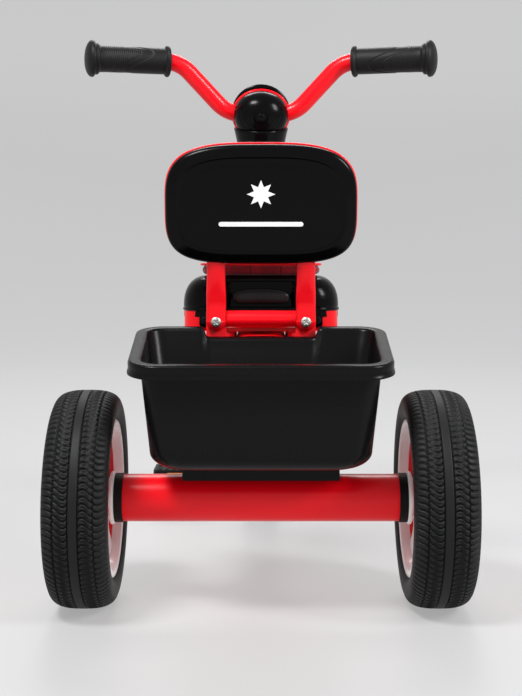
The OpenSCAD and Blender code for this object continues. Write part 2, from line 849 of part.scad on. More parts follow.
module fender() {
  lip_x = fork_gap / 2 - 5;
  fender_t = 2;
  color(glossy_black) steer_frame() difference() {
    rotate([0, -90, 0]) rotate([0, 0, -60]) rotate_extrude(angle = 120) polygon([
      [fender_r - 8, -lip_x], [fender_r - 4, -lip_x], [fender_r, -lip_x + 5], [fender_r, lip_x - 5],
      [fender_r - 4, lip_x], [fender_r - 8, lip_x], [fender_r - 8, lip_x - fender_t],
      [fender_r - 5, lip_x - fender_t], [fender_r - fender_t, lip_x - 6],
      [fender_r - fender_t, -lip_x + 6], [fender_r - 5, -lip_x + fender_t], [fender_r - 8, -lip_x + fender_t]
    ]);
    cylinder(h = fork_crown_s, r = bolt_r + fit_gap);
  }
}

module fender_bolt() {
  color(zinc) steer_frame() {
    translate([0, 0, fender_r - 5.3]) cylinder(h = 3, r = 2 * bolt_r);
    translate([0, 0, fender_r - 3]) cylinder(h = fork_crown_s - 8 - fender_r, r = bolt_r);
    translate([0, 0, fender_r + fit_gap])
      ring(2 * bolt_r, bolt_r, fork_top_s + fork_gap / 2 - fender_r - 1);
  }
}

function grip_dir(side) = [side * cos(grip_sweep), -sin(grip_sweep) * cos(rake), sin(grip_sweep) * sin(rake)];
bar_end_r = 23.5;
grip_end_x = bar_half_w - bar_end_r * 0.3;
bar_knee_x = grip_end_x - grip_l * cos(grip_sweep) - 14;
function bar_knee(side) = [side * bar_knee_x, 0, bar_s + bar_rise];
function grip_start(side) = bar_knee(side) + 14 / cos(grip_sweep) * grip_dir(side);

function bar_end(side) = grip_start(side) + (grip_l - 8) * grip_dir(side);

module handlebar() {
  color(steel_red) steer_frame() difference() {
    bent_rod([
      bar_end(left), bar_knee(left), [-bar_flat, 0, bar_s],
      [bar_flat, 0, bar_s], bar_knee(right), bar_end(right)
    ], bar_d);
    for (side = [left, right])
      rod_between(grip_start(side), bar_end(side) + cut * grip_dir(side), bar_d - 2 * tube_wall);
  }
}

module bar_clamp() {
  half_w = 15;
  color(zinc) steer_frame() difference() {
    union() {
      translate([-half_w, 0, bar_s]) rotate([0, 90, 0]) cylinder(h = 2 * half_w, r = clamp_r);
      translate([0, 0, bar_s - clamp_r - 2]) cylinder(h = clamp_r, r = steerer_d / 2);
    }
    translate([-half_w - cut, 0, bar_s]) rotate([0, 90, 0])
      cylinder(h = 2 * half_w + 2 * cut, r = bar_d / 2 + fit_gap);
  }
}

// Local +Z runs outwards along the grip
module grip_frame(side) {
  translate(grip_start(side)) rotate([0, acos(grip_dir(side).z), atan2(grip_dir(side).y, grip_dir(side).x)])
    children();
}

module grip(side) {
  body_r = 17;
  color(matte_black) steer_frame() grip_frame(side) difference() {
    rotate_extrude() polygon([
      [0, 0], [20, 0], [20.4, 3], [19, 6], [body_r - 1, 8], [body_r, 30], [body_r, grip_l - 24],
      [bar_end_r - 3, grip_l - 17], [bar_end_r, grip_l - 12], [bar_end_r, grip_l - 6],
      [bar_end_r - 4, grip_l - 1], [bar_end_r - 10, grip_l], [0, grip_l]
    ]);
    translate([0, 0, -cut]) cylinder(h = grip_l - 7 + cut, r = bar_d / 2 + fit_gap);
  }
}

module neck_cover() {
  color(glossy_black) steer_frame() rotate_extrude() polygon([
    [steerer_d / 2 + 6, neck_s], [steerer_d / 2 + 9, neck_s], [pod_r - 8, neck_top_s - 22],
    [pod_r - 2, neck_top_s - 10], [pod_r - 9, neck_top_s - 9], [pod_r - 11, neck_top_s - 22]
  ]);
}

// ---------- sound pod ----------

// Local +Z points forwards, square to the steering axis
module pod_frame() {
  steer_frame() translate([0, 0, bar_s]) rotate([-90, 0, 0]) children();
}

module bar_hole() {
  translate([-2 * pod_r, 0, 0]) rotate([0, 90, 0]) cylinder(h = 4 * pod_r, r = bar_d / 2 + 0.3);
}

module neck_hole() {
  rotate([-90, 0, 0]) cylinder(h = 2 * pod_r, r = steerer_d / 2 + 0.3);
}

// Half of a hollow dome of revolution, from z = 0 to z = depth
module dome(r, depth, t) {
  rotate_extrude() intersection() {
    square([r, depth]);
    polygon(concat(
      [for (a = [0 : 6 : 90]) [r * cos(a), depth * pow(sin(a), 0.8)]],
      [for (a = [90 : -6 : 0]) [(r - t) * cos(a), (depth - t) * pow(sin(a), 0.8)]]
    ));
  }
}

module pod_shell() {
  color(glossy_black) pod_frame() difference() {
    translate([0, 0, 2]) dome(pod_r, 40, wall);
    bar_hole();
    neck_hole();
  }
}

module pod_ring() {
  color(steel_red) pod_frame() difference() {
    translate([0, 0, -pod_seam]) ring(pod_r - 1, pod_r - 5, pod_seam + 2);
    bar_hole();
    neck_hole();
  }
}

module pod_cap() {
  color(glossy_black) pod_frame() difference() {
    translate([0, 0, -pod_seam]) mirror([0, 0, 1]) dome(pod_cap_r, pod_cap_depth, wall);
    bar_hole();
    neck_hole();
    translate([0, 0, -2 * pod_r]) cylinder(h = 1.5 * pod_r, r = button_r + run_gap);
  }
}

// Block that sits astride the clamp, behind the button
module sound_module() {
  block = [28, 18, 14];
  color(matte_black) pod_frame() difference() {
    translate([-block.x / 2, -block.y / 2, -clamp_r - 0.75 * block.z]) cube(block);
    translate([-block.x, 0, 0]) rotate([0, 90, 0]) cylinder(h = 2 * block.x, r = clamp_r + fit_gap);
  }
}

module sound_button() {
  button_l = 8;
  color(matte_black) pod_frame() translate([0, 0, -pod_seam - pod_cap_depth - button_travel])
    cylinder(h = button_l, r = button_r);
}

rear_axle_tube();
main_tube();
bridge_tube();
crossbar();
post(left);  // post_left
post(right);  // post_right
head_tube();
head_cups();
axle_spacers();
rear_axle_rod();
axle_washers();
axle_nuts();
seat_bracket();
seat_bolts();
seat_base();
seat_shell();
seat_handle();
seat_cushion();
seat_screws();
arm(left);  // arm_left
arm(right);  // arm_right
arm_bolts();
arm_nuts();
backrest_shell();
backrest_cushion();
backrest_screws();
basket();
basket_saddle();
basket_screws();
tyre_rear(left);  // tyre_rear_left
rim_rear(left);  // rim_rear_left
cover_rear(left);  // cover_rear_left
bushes_rear(left);  // bushes_rear_left
cap_rear(left);  // cap_rear_left
tyre_rear(right);  // tyre_rear_right
rim_rear(right);  // rim_rear_right
cover_rear(right);  // cover_rear_right
bushes_rear(right);  // bushes_rear_right
cap_rear(right);  // cap_rear_right
fork();
steerer_tube();
lock_nut();
fender();
fender_bolt();
crank_bushes();
handlebar();
bar_clamp();
grip(left);  // grip_left
grip(right);  // grip_right
neck_cover();
pod_shell();
pod_ring();
pod_cap();
sound_module();
sound_button();
tyre_front();
rim_front();
crank_axle();
pedal(left);  // pedal_left
pedal(right);  // pedal_right
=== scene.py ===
import json
import math

import bmesh
import bpy
from mathutils import Matrix, Vector

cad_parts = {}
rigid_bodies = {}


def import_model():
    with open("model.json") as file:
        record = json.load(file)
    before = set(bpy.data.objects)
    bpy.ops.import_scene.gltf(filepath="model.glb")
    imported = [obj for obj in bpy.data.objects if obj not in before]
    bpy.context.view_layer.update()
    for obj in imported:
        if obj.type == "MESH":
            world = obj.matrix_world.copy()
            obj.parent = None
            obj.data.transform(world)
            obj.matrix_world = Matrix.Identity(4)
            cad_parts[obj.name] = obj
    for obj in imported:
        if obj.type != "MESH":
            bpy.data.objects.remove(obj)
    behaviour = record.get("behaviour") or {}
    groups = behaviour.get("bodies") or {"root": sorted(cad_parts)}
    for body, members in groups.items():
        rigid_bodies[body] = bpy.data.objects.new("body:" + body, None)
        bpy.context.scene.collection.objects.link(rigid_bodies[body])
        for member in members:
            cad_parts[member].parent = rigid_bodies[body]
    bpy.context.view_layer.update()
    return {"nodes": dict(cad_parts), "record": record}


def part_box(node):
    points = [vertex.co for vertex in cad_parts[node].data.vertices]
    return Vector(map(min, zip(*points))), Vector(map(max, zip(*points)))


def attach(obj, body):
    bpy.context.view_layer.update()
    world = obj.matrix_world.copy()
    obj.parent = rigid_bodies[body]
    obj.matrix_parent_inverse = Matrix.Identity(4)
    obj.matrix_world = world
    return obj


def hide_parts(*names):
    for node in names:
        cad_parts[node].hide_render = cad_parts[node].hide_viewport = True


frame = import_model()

mm = 0.001


joints = {j["name"]: j for j in frame["record"]["behaviour"]["joints"]}
rake = math.atan2(-joints["steering_turn"]["axis"][1], joints["steering_turn"]["axis"][2])
frontAxle = Vector(joints["front_wheel_spin"]["pos_m"])
axleLeft = Vector(joints["rear_wheel_left_spin"]["pos_m"])
axleRight = Vector(joints["rear_wheel_right_spin"]["pos_m"])
steerUp = Vector((0, -math.sin(rake), math.cos(rake)))
steerAhead = Vector((0, math.cos(rake), math.sin(rake)))


def low(node):
    return Vector(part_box(node)[0])


def high(node):
    return Vector(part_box(node)[1])


def middle(node):
    return (low(node) + high(node)) / 2


def size(node):
    return high(node) - low(node)


def steer(x, ahead, up):  # a point given across, ahead of and up the steering axis
    return frontAxle + Vector((x, 0, 0)) + steerAhead * ahead + steerUp * up


class Val:  # one socket; its operators add Math nodes
    def __init__(self, shade, socket):
        self.shade, self.socket = shade, socket

    def math(self, kind, a, b=None):
        sockets = {0: a} if b is None else {0: a, 1: b}
        return self.shade.node("ShaderNodeMath", {"operation": kind}, sockets)

    def __add__(self, other):
        return self.math("ADD", self, other)

    def __radd__(self, other):
        return self.math("ADD", other, self)

    def __sub__(self, other):
        return self.math("SUBTRACT", self, other)

    def __rsub__(self, other):
        return self.math("SUBTRACT", other, self)

    def __mul__(self, other):
        return self.math("MULTIPLY", self, other)

    def __rmul__(self, other):
        return self.math("MULTIPLY", other, self)

    def __truediv__(self, other):
        return self.math("DIVIDE", self, other)

    def __pow__(self, other):
        return self.math("POWER", self, other)

    def __gt__(self, other):
        return self.math("GREATER_THAN", self, other)

    def sin(self):
        return self.math("SINE", self)

    def fract(self):
        return self.math("FRACT", self)

    def abs(self):
        return self.math("ABSOLUTE", self)

    def clamp(self):
        return self.math("MAXIMUM", self.math("MINIMUM", self, 1.0), 0.0)


class Shade:  # one material and its nodes
    def __init__(self, name, **fixed):
        self.mat = bpy.data.materials.new(name)
        self.mat.use_nodes = True
        self.tree = self.mat.node_tree
        self.surface = self.tree.nodes["Principled BSDF"]
        for key, value in fixed.items():
            self.surface.inputs[key.replace("_", " ")].default_value = value

    def node(self, kind, settings=None, sockets=None, out=0):
        made = self.tree.nodes.new(kind)
        for key, value in (settings or {}).items():
            if key == "stops":
                while len(made.color_ramp.elements) < len(value):
                    made.color_ramp.elements.new(0.5)
                for stop, (place, colour) in zip(made.color_ramp.elements, value):
                    stop.position, stop.color = place, colour
            else:
                setattr(made, key, value)
        for key, value in (sockets or {}).items():
            self.feed(made.inputs[key], value)
        return Val(self, made.outputs[out])

    def feed(self, socket, value):
        if isinstance(value, Val):
            self.tree.links.new(value.socket, socket)
        else:
            socket.default_value = value

    def put(self, key, value):
        self.feed(self.surface.inputs[key], value)

    def place(self):
        return self.node("ShaderNodeTexCoord", out="Object")

    def noise(self, scale, detail=4.0, rough=0.55, where=None):
        return self.node("ShaderNodeTexNoise", None, {
            "Vector": where or self.place(), "Scale": scale, "Detail": detail, "Roughness": rough})

    def axes(self):
        split = self.node("ShaderNodeSeparateXYZ", None, {0: self.place()})
        outs = split.socket.node.outputs
        return [Val(self, outs[k]) for k in range(3)]

    def mix(self, factor, a, b):
        return self.node("ShaderNodeMix", {"data_type": "RGBA"}, {0: factor, 6: a, 7: b}, out=2)

    def bump(self, height, strength, distance):
        self.put("Normal", self.node("ShaderNodeBump", None, {
            "Height": height, "Strength": strength, "Distance": distance}))


def colour(r, g, b):
    return (r, g, b, 1.0)


def darker(c, k):
    return (c[0] * k, c[1] * k, c[2] * k, 1.0)


paintLook = {"red": colour(0.95, 0.002, 0.010), "peelScale": 420.0, "peelDepth": 0.10}


def glossPaint(name, base, rough=0.24, coat=0.4, metal=0.0, shine=0.5):
    s = Shade(name, Metallic=metal, Coat_Roughness=0.06, Specular_IOR_Level=shine)
    cloud = s.noise(14.0)
    specks = s.noise(900.0, 2.0)
    s.put("Base Color", s.mix(cloud, darker(base, 0.86), darker(base, 1.1)))
    s.put("Roughness", rough + 0.10 * cloud + 0.05 * specks)
    s.put("Coat Weight", coat)
    peel = s.noise(paintLook["peelScale"], 2.0)
    s.bump(peel * 0.7 + specks * 0.3, paintLook["peelDepth"], 0.0004)
    return s.mat


def mouldedPlastic(name, base, rough, grain, depth, coat=0.0, shine=0.5):
    s = Shade(name, Coat_Roughness=0.08, Specular_IOR_Level=shine)
    cloud = s.noise(9.0)
    fine = s.noise(grain, 3.0, 0.7)
    scuff = (s.noise(55.0, 6.0, 0.75) - 0.6).clamp() * 2.2
    s.put("Base Color", s.mix((cloud * 0.6 + scuff * 0.5).clamp(), base, darker(base, 1.7)))
    s.put("Roughness", (rough + 0.12 * cloud + 0.25 * scuff).clamp())
    s.put("Coat Weight", coat)
    s.bump(fine, depth, 0.0005)
    return s.mat


def zincPlate(name):
    s = Shade(name, Metallic=1.0)
    cloud = s.noise(60.0)
    fine = s.noise(700.0, 3.0)
    s.put("Base Color", s.mix(cloud, colour(0.50, 0.49, 0.46), colour(0.72, 0.72, 0.70)))
    s.put("Roughness", 0.24 + 0.18 * cloud + 0.08 * fine)
    s.bump(fine, 0.15, 0.0003)
    return s.mat


def tyreFoam(name):
    s = Shade(name, Specular_IOR_Level=0.24)
    cloud = s.noise(22.0)
    dust = (s.noise(75.0, 6.0, 0.75) - 0.52).clamp() * 2.6
    pores = s.noise(1500.0, 2.0, 0.8)
    s.put("Base Color", s.mix((dust * 0.55).clamp(), colour(0.006, 0.0062, 0.0066), colour(0.018, 0.018, 0.019)))
    s.put("Roughness", (0.46 + 0.14 * cloud + 0.2 * dust).clamp())
    s.bump(pores * 0.6 + cloud * 0.4, 0.22, 0.0006)
    return s.mat


fabricLook = {"check": 0.034, "thread": 0.0011, "ground": colour(0.20, 0.004, 0.012),
              "bright": colour(0.46, 0.008, 0.022), "dark": colour(0.06, 0.003, 0.006)}


def plaidCloth(name, across, along):  # across and along pick the axes that the stripes follow
    s = Shade(name, Sheen_Weight=0.35, Sheen_Roughness=0.4)
    xyz = s.axes()
    u, v = xyz[across], xyz[along]
    check, thread = fabricLook["check"], fabricLook["thread"]
    wide = ((u / check).fract() > 0.55) * 0.5 + ((v / check).fract() > 0.55) * 0.5
    fineU = (u / check + 0.32).fract() > 0.94
    fineV = (v / check + 0.32).fract() > 0.94
    warp = (u * (math.pi * 2 / thread)).sin()
    weft = (v * (math.pi * 2 / thread)).sin()
    weave = warp * weft * 0.5 + 0.5
    fuzz = s.noise(260.0, 4.0, 0.7)
    ground = s.mix(wide, fabricLook["ground"], fabricLook["bright"])
    lined = s.mix(((fineU + fineV) * 0.8).clamp(), ground, fabricLook["dark"])
    s.put("Base Color", s.mix(weave * 0.3 + fuzz * 0.2, lined, fabricLook["dark"]))
    s.put("Roughness", 0.74 + 0.16 * fuzz)
    s.bump(weave * 0.7 + fuzz * 0.3, 0.55, 0.0006)
    return s.mat


print("materials")
red = glossPaint("redEnamel", paintLook["red"], 0.22, 0.12, 0.0, 0.22)
redPlastic = glossPaint("redMoulded", colour(0.95, 0.002, 0.010), 0.22, 0.1, 0.0, 0.2)
glossBlack = glossPaint("glossBlackShell", colour(0.002, 0.002, 0.0024), 0.12, 0.0, 0.0, 0.10)
satinBlack = mouldedPlastic("satinBlackPlastic", colour(0.0032, 0.0032, 0.0036), 0.20, 1400.0, 0.06, 0.0, 0.12)
darkBlack = mouldedPlastic("mattBlackPlastic", colour(0.005, 0.005, 0.0054), 0.38, 1400.0, 0.2, 0.0, 0.14)
greyPlastic = mouldedPlastic("greyPlastic", colour(0.012, 0.012, 0.013), 0.30, 1400.0, 0.1, 0.0, 0.3)
whitePlastic = mouldedPlastic("whiteMoulded", colour(0.80, 0.77, 0.77), 0.24, 900.0, 0.06, 0.3)
gripRubber = mouldedPlastic("gripRubber", colour(0.0065, 0.0065, 0.0072), 0.42, 1700.0, 0.25, 0.0, 0.2)
amber = mouldedPlastic("amberReflector", colour(0.75, 0.22, 0.02), 0.18, 500.0, 0.3, 0.6)
printWhite = mouldedPlastic("whitePrint", colour(0.78, 0.78, 0.78), 0.4, 900.0, 0.06)
zinc = zincPlate("zincPlate")
foam = tyreFoam("tyreFoam")
seatCloth = plaidCloth("plaidSeatCloth", 0, 1)
backCloth = plaidCloth("plaidBackCloth", 0, 2)


def newPiece(name, verts, faces, mat, body, slot, replaced=(), shadeSmooth=True):
    mesh = bpy.data.meshes.new(name)
    mesh.from_pydata([tuple(v) for v in verts], [], faces)
    mesh.validate()
    tidy = bmesh.new()
    tidy.from_mesh(mesh)
    bmesh.ops.remove_doubles(tidy, verts=tidy.verts, dist=1e-6)
    bmesh.ops.recalc_face_normals(tidy, faces=tidy.faces)
    tidy.to_mesh(mesh)
    tidy.free()
    for face in mesh.polygons:
        face.use_smooth = shadeSmooth
    mesh.materials.append(mat)
    piece = bpy.data.objects.new(name, mesh)
    bpy.context.scene.collection.objects.link(piece)
    if replaced:
        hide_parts(*replaced)
    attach(piece, body)
    return piece


def bevelled(piece, width, segments=3, angle=35):
    edge = piece.modifiers.new("edges", "BEVEL")
    edge.width = width
    edge.segments = segments
    edge.limit_method = "ANGLE"
    edge.angle_limit = math.radians(angle)
    edge.harden_normals = False
    return piece


def ramp(x):  # x held between 0 and 1
    return min(1.0, max(0.0, x))


def smooth(x):
    return x * x * (3 - 2 * x)


def pairs(loop):  # each point of a closed loop with the next
    return list(zip(loop, loop[1:] + loop[:1]))


def divided(loop, counts):  # a closed loop with its sides cut into the given numbers of parts
    return [p.lerp(q, k / parts) for (p, q), parts in zip(pairs(loop), counts) for k in range(parts)]


def skin(loops, closedEnds=True, wrap=False):  # faces between loops of the same count
    n = len(loops[0])
    verts = [v for loop in loops for v in loop]
    faces = []
    count = len(loops)
    for k in range(count if wrap else count - 1):
        for i in range(n):
            a, b = k * n, ((k + 1) % count) * n
            faces.append((a + i, a + (i + 1) % n, b + (i + 1) % n, b + i))
    if closedEnds and not wrap:
        faces.append(tuple(reversed(range(n))))
        faces.append(tuple(range((count - 1) * n, count * n)))
    return verts, faces


def roundRect(halfW, halfH, r, steps=7):  # points of a rectangle with round corners
    r = max(min(r, halfW, halfH), 1e-5)
    points = []
    for cx, cy, start in ((1, 1, 0), (-1, 1, 90), (-1, -1, 180), (1, -1, 270)):
        for k in range(steps + 1):
            a = math.radians(start + 90 * k / steps)
            points.append((cx * (halfW - r) + r * math.cos(a), cy * (halfH - r) + r * math.sin(a)))
    return points


# profile holds (radius, along); shaped(turn, radius, along), if given, changes the radius
def revolve(profile, origin, axis, across, steps=96, shaped=None):
    third = axis.cross(across)
    verts = []
    for k in range(steps):
        a = 2 * math.pi * k / steps
        out = across * math.cos(a) + third * math.sin(a)
        verts += [origin + out * (shaped(a, r, u) if shaped else r) + axis * u for r, u in profile]
    n = len(profile)
    faces = []
    for k in range(steps):
        a, b = k * n, ((k + 1) % steps) * n
        faces += [(a + i, b + i, b + i + 1, a + i + 1) for i in range(n - 1)]
    return verts, faces


def roundedPath(points, r, steps=8):  # a polyline with each corner turned into an arc
    path = [Vector(points[0])]
    for before, here, after in zip(points, points[1:], points[2:]):
        before, here, after = Vector(before), Vector(here), Vector(after)
        a, b = (before - here).normalized(), (after - here).normalized()
        reach = min(r / math.tan(a.angle(b) / 2), (before - here).length * 0.49, (after - here).length * 0.49)
        start, end = here + a * reach, here + b * reach
        for k in range(steps + 1):
            t = k / steps
            path.append(start * (1 - t) ** 2 + here * 2 * t * (1 - t) + end * t * t)
    path.append(Vector(points[-1]))
    return path


def sweep(path, side, section, steps=28):  # section(t) gives half width, half thickness, power
    loops = []
    for k, point in enumerate(path):
        ahead = (path[min(k + 1, len(path) - 1)] - path[max(k - 1, 0)]).normalized()
        flat = (side - ahead * side.dot(ahead)).normalized()
        up = ahead.cross(flat)
        halfW, halfT, power = section(k / (len(path) - 1))
        loop = []
        for i in range(steps):
            a = 2 * math.pi * i / steps
            c, s = math.cos(a), math.sin(a)
            loop.append(point + flat * halfW * math.copysign(abs(c) ** power, c)
                        + up * halfT * math.copysign(abs(s) ** power, s))
        loops.append(loop)
    return skin(loops)


tyreTread = {"blocks": 104, "frontBlocks": 128, "samples": 9, "deep": 2.6 * mm, "rib": 0.15, "edge": 0.60,
             "last": 0.96, "high": 34 * mm, "square": 0.72, "reach": 15 * mm, "fade": 5 * mm}


def tyreSection(radius, halfW, height):  # outer profile from one bead to the other
    power = tyreTread["square"]

    def point(c, s):
        return (radius - height / 2 + height / 2 * math.copysign(abs(s) ** power, s),
                halfW * math.copysign(abs(c) ** power, c))

    rib, edge = tyreTread["rib"], tyreTread["edge"]
    spots = [0.03, 0.09, rib - 0.03, rib - 0.015, rib, rib + 0.015, rib + 0.03]
    spots += [rib + 0.03 + (edge - rib - 0.07) * k / 8 for k in range(1, 9)]
    spots += [edge - 0.02, edge, edge + 0.02, edge + 0.04]
    spots += [edge + 0.04 + (0.985 - edge - 0.04) * k / 9 for k in range(1, 10)]
    crown = [-w for w in reversed(spots)] + spots
    lowTurns = [math.radians(-52 + 52 * k / 9) for k in range(10)]
    points = [point(math.cos(a), math.sin(a)) for a in lowTurns]
    for w in reversed(crown):
        c = math.copysign(abs(w) ** (1 / power), w)
        points.append(point(c, math.sqrt(1 - c * c)))
    return points + [point(-math.cos(a), math.sin(a)) for a in reversed(lowTurns)]


def line(distance, half, soft):  # 1 inside a groove, falling to 0 past its edge
    return ramp((half + soft - distance) / soft)


# Groove depth from 0 to 1. turn counts block pitches round the tyre, w runs -1 to 1 across it
def grooveAt(turn, w):
    rib, edge, last = tyreTread["rib"], tyreTread["edge"], tyreTread["last"]
    side, way = abs(w), 1 if w > 0 else -1
    if side > last:
        return 0.0
    turn += 0.37 * way
    edge += 0.015 * math.sin(turn * 2 * math.pi)
    depth = max(line(abs(side - rib), 0.008, 0.014), line(abs(side - edge), 0.010, 0.016))
    if rib < side < edge:
        across = (side - rib) / (edge - rib)
        bend = 0.42 * math.sin(across * math.pi * 1.6) * way
        depth = max(depth, line(abs((turn + bend) % 1.0 - 0.5), 0.08, 0.10))
        if 0.25 < across < 0.7:
            depth = max(depth, 0.7 * line(abs((turn + bend + 0.5) % 1.0 - 0.5), 0.03, 0.10))
    elif side >= edge:
        across = (side - edge) / (last - edge)
        bend = 0.35 * across + 0.9 * max(0.0, 0.3 - across) * way
        depth = max(depth, line(abs((turn + bend) % 1.0 - 0.5), 0.09, 0.10) * min(1.0, 4 * (1 - across) + 0.2))
    return depth


def makeTyre(name, node, centre, body, blocks):
    radius, halfW = size(node).z / 2, size(node).x / 2
    height, samples = tyreTread["high"], tyreTread["samples"]
    profile = tyreSection(radius, halfW, height)
    profile += [(radius - height + 0.2 * mm, u) for u in (-halfW * 0.45, 0, halfW * 0.45)]
    rings = blocks * samples
    loops = []
    for k in range(rings):
        a = 2 * math.pi * k / rings
        loop = []
        for r, u in profile:
            fade = ramp((r - radius + tyreTread["reach"]) / tyreTread["fade"])
            if fade > 0:
                r -= tyreTread["deep"] * grooveAt(k / samples, u / halfW) * fade
            loop.append(centre + Vector((u, r * math.cos(a), r * math.sin(a))))
        loops.append(loop)
    return newPiece(name, *skin(loops, False, True), foam, body, "tyre_foam", (node,))


print("tyres")
makeTyre("tyreRearLeft", "tyre_rear_left", axleLeft, "rear_wheel_left", tyreTread["blocks"])
makeTyre("tyreRearRight", "tyre_rear_right", axleRight, "rear_wheel_right", tyreTread["blocks"])
makeTyre("tyreFront", "tyre_front", frontAxle, "front_wheel", tyreTread["frontBlocks"])


rimLook = {"spokes": 6, "spokeHalf": 9 * mm, "wall": 3.2 * mm, "hub": 27 * mm, "axleFit": 6.1 * mm, "bush": 4.1 * mm}


def boxAlong(centre, xDir, yDir, zDir, sx, sy, sz):  # verts and faces of a box with its own axes
    verts = [centre + xDir * sx * a + yDir * sy * b + zDir * sz * c
             for a in (-0.5, 0.5) for b in (-0.5, 0.5) for c in (-0.5, 0.5)]
    faces = [(0, 1, 3, 2), (4, 6, 7, 5), (0, 4, 5, 1), (2, 3, 7, 6), (0, 2, 6, 4), (1, 5, 7, 3)]
    return verts, faces


def joined(*parts):
    verts, faces = [], []
    for v, f in parts:
        base = len(verts)
        verts += v
        faces += [tuple(i + base for i in face) for face in f]
    return verts, faces


def makeRim(name, node, centre, body, side, tyre, hubR, bore, webU):  # webU: where the spokes sit across the wheel
    out, up = Vector((side, 0, 0)), Vector((0, 0, 1))
    tyreR, halfW = size(tyre).z / 2, size(tyre).x / 2
    lowU = min((low(node).x - centre.x) * side, (high(node).x - centre.x) * side)
    bead, lipR = tyreR - 34.2 * mm, tyreR - 30 * mm
    wall, lipU = rimLook["wall"], 0.83 * halfW
    half = [(lipR - 1.2 * mm, lipU + 2.4 * mm), (bead - wall + 1.5 * mm, lipU + 2.4 * mm),
            (bead - wall, lipU + 1.2 * mm)]
    outer = [(lipR, lipU + 1.4 * mm), (lipR, lipU - 0.2 * mm), (bead, lipU - 3 * mm)]
    barrel = [(r, -u) for r, u in reversed(half)] + [(r, -u) for r, u in outer] + [(bead, 0)]
    barrel += list(reversed(outer)) + half + [(bead - wall, 0), (bead - wall, -lipU - 1.2 * mm)]
    parts = [revolve(barrel, centre, out, up, 144)]
    far = webU + 14 * mm
    hub = [(bore, lowU), (hubR - 1.5 * mm, lowU), (hubR, lowU + 1.2 * mm), (hubR, lowU + 3.6 * mm),
           (hubR - 1.5 * mm, lowU + 4.6 * mm), (hubR * 0.74, max(lowU + 5.5 * mm, webU - 4 * mm)),
           (hubR * 0.66, webU + 6 * mm), (hubR * 0.72, far), (bore, far), (bore, lowU)]
    parts.append(revolve(hub, centre, out, up, 96))
    for k in range(rimLook["spokes"]):
        a = 2 * math.pi * (k + 0.5) / rimLook["spokes"]
        ray = up * math.cos(a) + out.cross(up) * math.sin(a)
        flat = out.cross(ray)
        loops = []
        for t in (0.0, 0.1, 0.25, 0.45, 0.65, 0.8, 0.92, 1.0):
            r = hubR * 0.6 + (bead - wall * 0.6 - hubR * 0.6) * t
            wide = rimLook["spokeHalf"] * (1.0 - 1.3 * t * (1 - t) + 0.45 * t)
            dish = 2.2 * mm * math.sin(math.pi * t)
            loops.append([centre + ray * r + flat * x * wide + out * (webU + dish + z * 2.4 * mm)
                          for x, z in roundRect(1, 1, 0.5, 5)])
        parts.append(skin(loops))
    return newPiece(name, *joined(*parts), whitePlastic, body, "white_plastic", (node,))


print("rims")
bushR = size("rear_axle_rod").z / 2 + rimLook["bush"]
for tag, centre, side in (("left", axleLeft, -1), ("right", axleRight, 1)):
    skirtU = min(abs(high("cover_rear_" + tag).x - centre.x), abs(low("cover_rear_" + tag).x - centre.x))
    makeRim("rimRear" + tag.title(), "rim_rear_" + tag, centre, "rear_wheel_" + tag, side, "tyre_rear_left",
            rimLook["hub"], bushR, -skirtU - 2.5 * mm)
makeRim("rimFront", "rim_front", frontAxle, "front_wheel", 1, "tyre_front", rimLook["hub"], rimLook["axleFit"], 0)

coverLook = {"dish": 4.5 * mm, "ribs": 12, "ribDeep": 1.4 * mm, "skirt": 1.6 * mm}


def makeCover(name, node, centre, side, body):  # outer wheel cover with pressed ribs and a skirt inside the rim
    out, up = Vector((side, 0, 0)), Vector((0, 0, 1))
    reach = sorted(((low(node).x - centre.x) * side, (high(node).x - centre.x) * side))
    face, outerR, skirtEnd = reach[1] - 6 * mm, size(node).z / 2, reach[0] - 3 * mm
    innerR = size("cap_rear_left").z / 2 + 0.5 * mm
    steps, rays = 20, 144
    loops = []
    for k in range(rays):
        a = 2 * math.pi * k / rays
        ray = up * math.cos(a) + out.cross(up) * math.sin(a)
        outer, inner = [], []
        for i in range(steps + 1):
            t = i / steps
            wave = max(0.0, math.cos(a * coverLook["ribs"])) ** 3 * math.sin(math.pi * t) ** 0.6
            u = face + coverLook["dish"] * (1 - t * t) * 0.9 - coverLook["ribDeep"] * wave
            outer.append((innerR + (outerR - innerR) * t, min(u + 1.8 * mm, face + 6 * mm)))
            inner.append((innerR + (outerR - coverLook["skirt"] - innerR) * t, u))
        ring = outer + [(outerR, skirtEnd), (outerR - coverLook["skirt"], skirtEnd)] + list(reversed(inner))
        loops.append([centre + ray * r + out * u for r, u in ring])
    return newPiece(name, *skin(loops, False, True), redPlastic, body, "red_plastic", (node,))


print("covers and caps")
for tag, centre, side in (("left", axleLeft, -1), ("right", axleRight, 1)):
    body = "rear_wheel_" + tag
    makeCover("coverRear" + tag.title(), "cover_rear_" + tag, centre, side, body)
    capNode = "cap_rear_" + tag
    capR = size(capNode).z / 2
    near = min(abs(low(capNode).x - centre.x), abs(high(capNode).x - centre.x))
    far = max(abs(low(capNode).x - centre.x), abs(high(capNode).x - centre.x))
    crown = [(capR - 2 * mm, near), (capR, near), (capR, far - 4 * mm), (capR - 0.8 * mm, far - 2.6 * mm),
             (capR - 3 * mm, far - 1.2 * mm), (capR - 6 * mm, far - 0.6 * mm), (capR - 6.6 * mm, far - 1.4 * mm),
             (capR - 7.4 * mm, far - 0.5 * mm), (3 * mm, far), (0.01 * mm, far)]
    newPiece("capRear" + tag.title(), *revolve(crown, centre, Vector((side, 0, 0)), Vector((0, 0, 1)), 64),
             darkBlack, body, "satin_black", (capNode,))


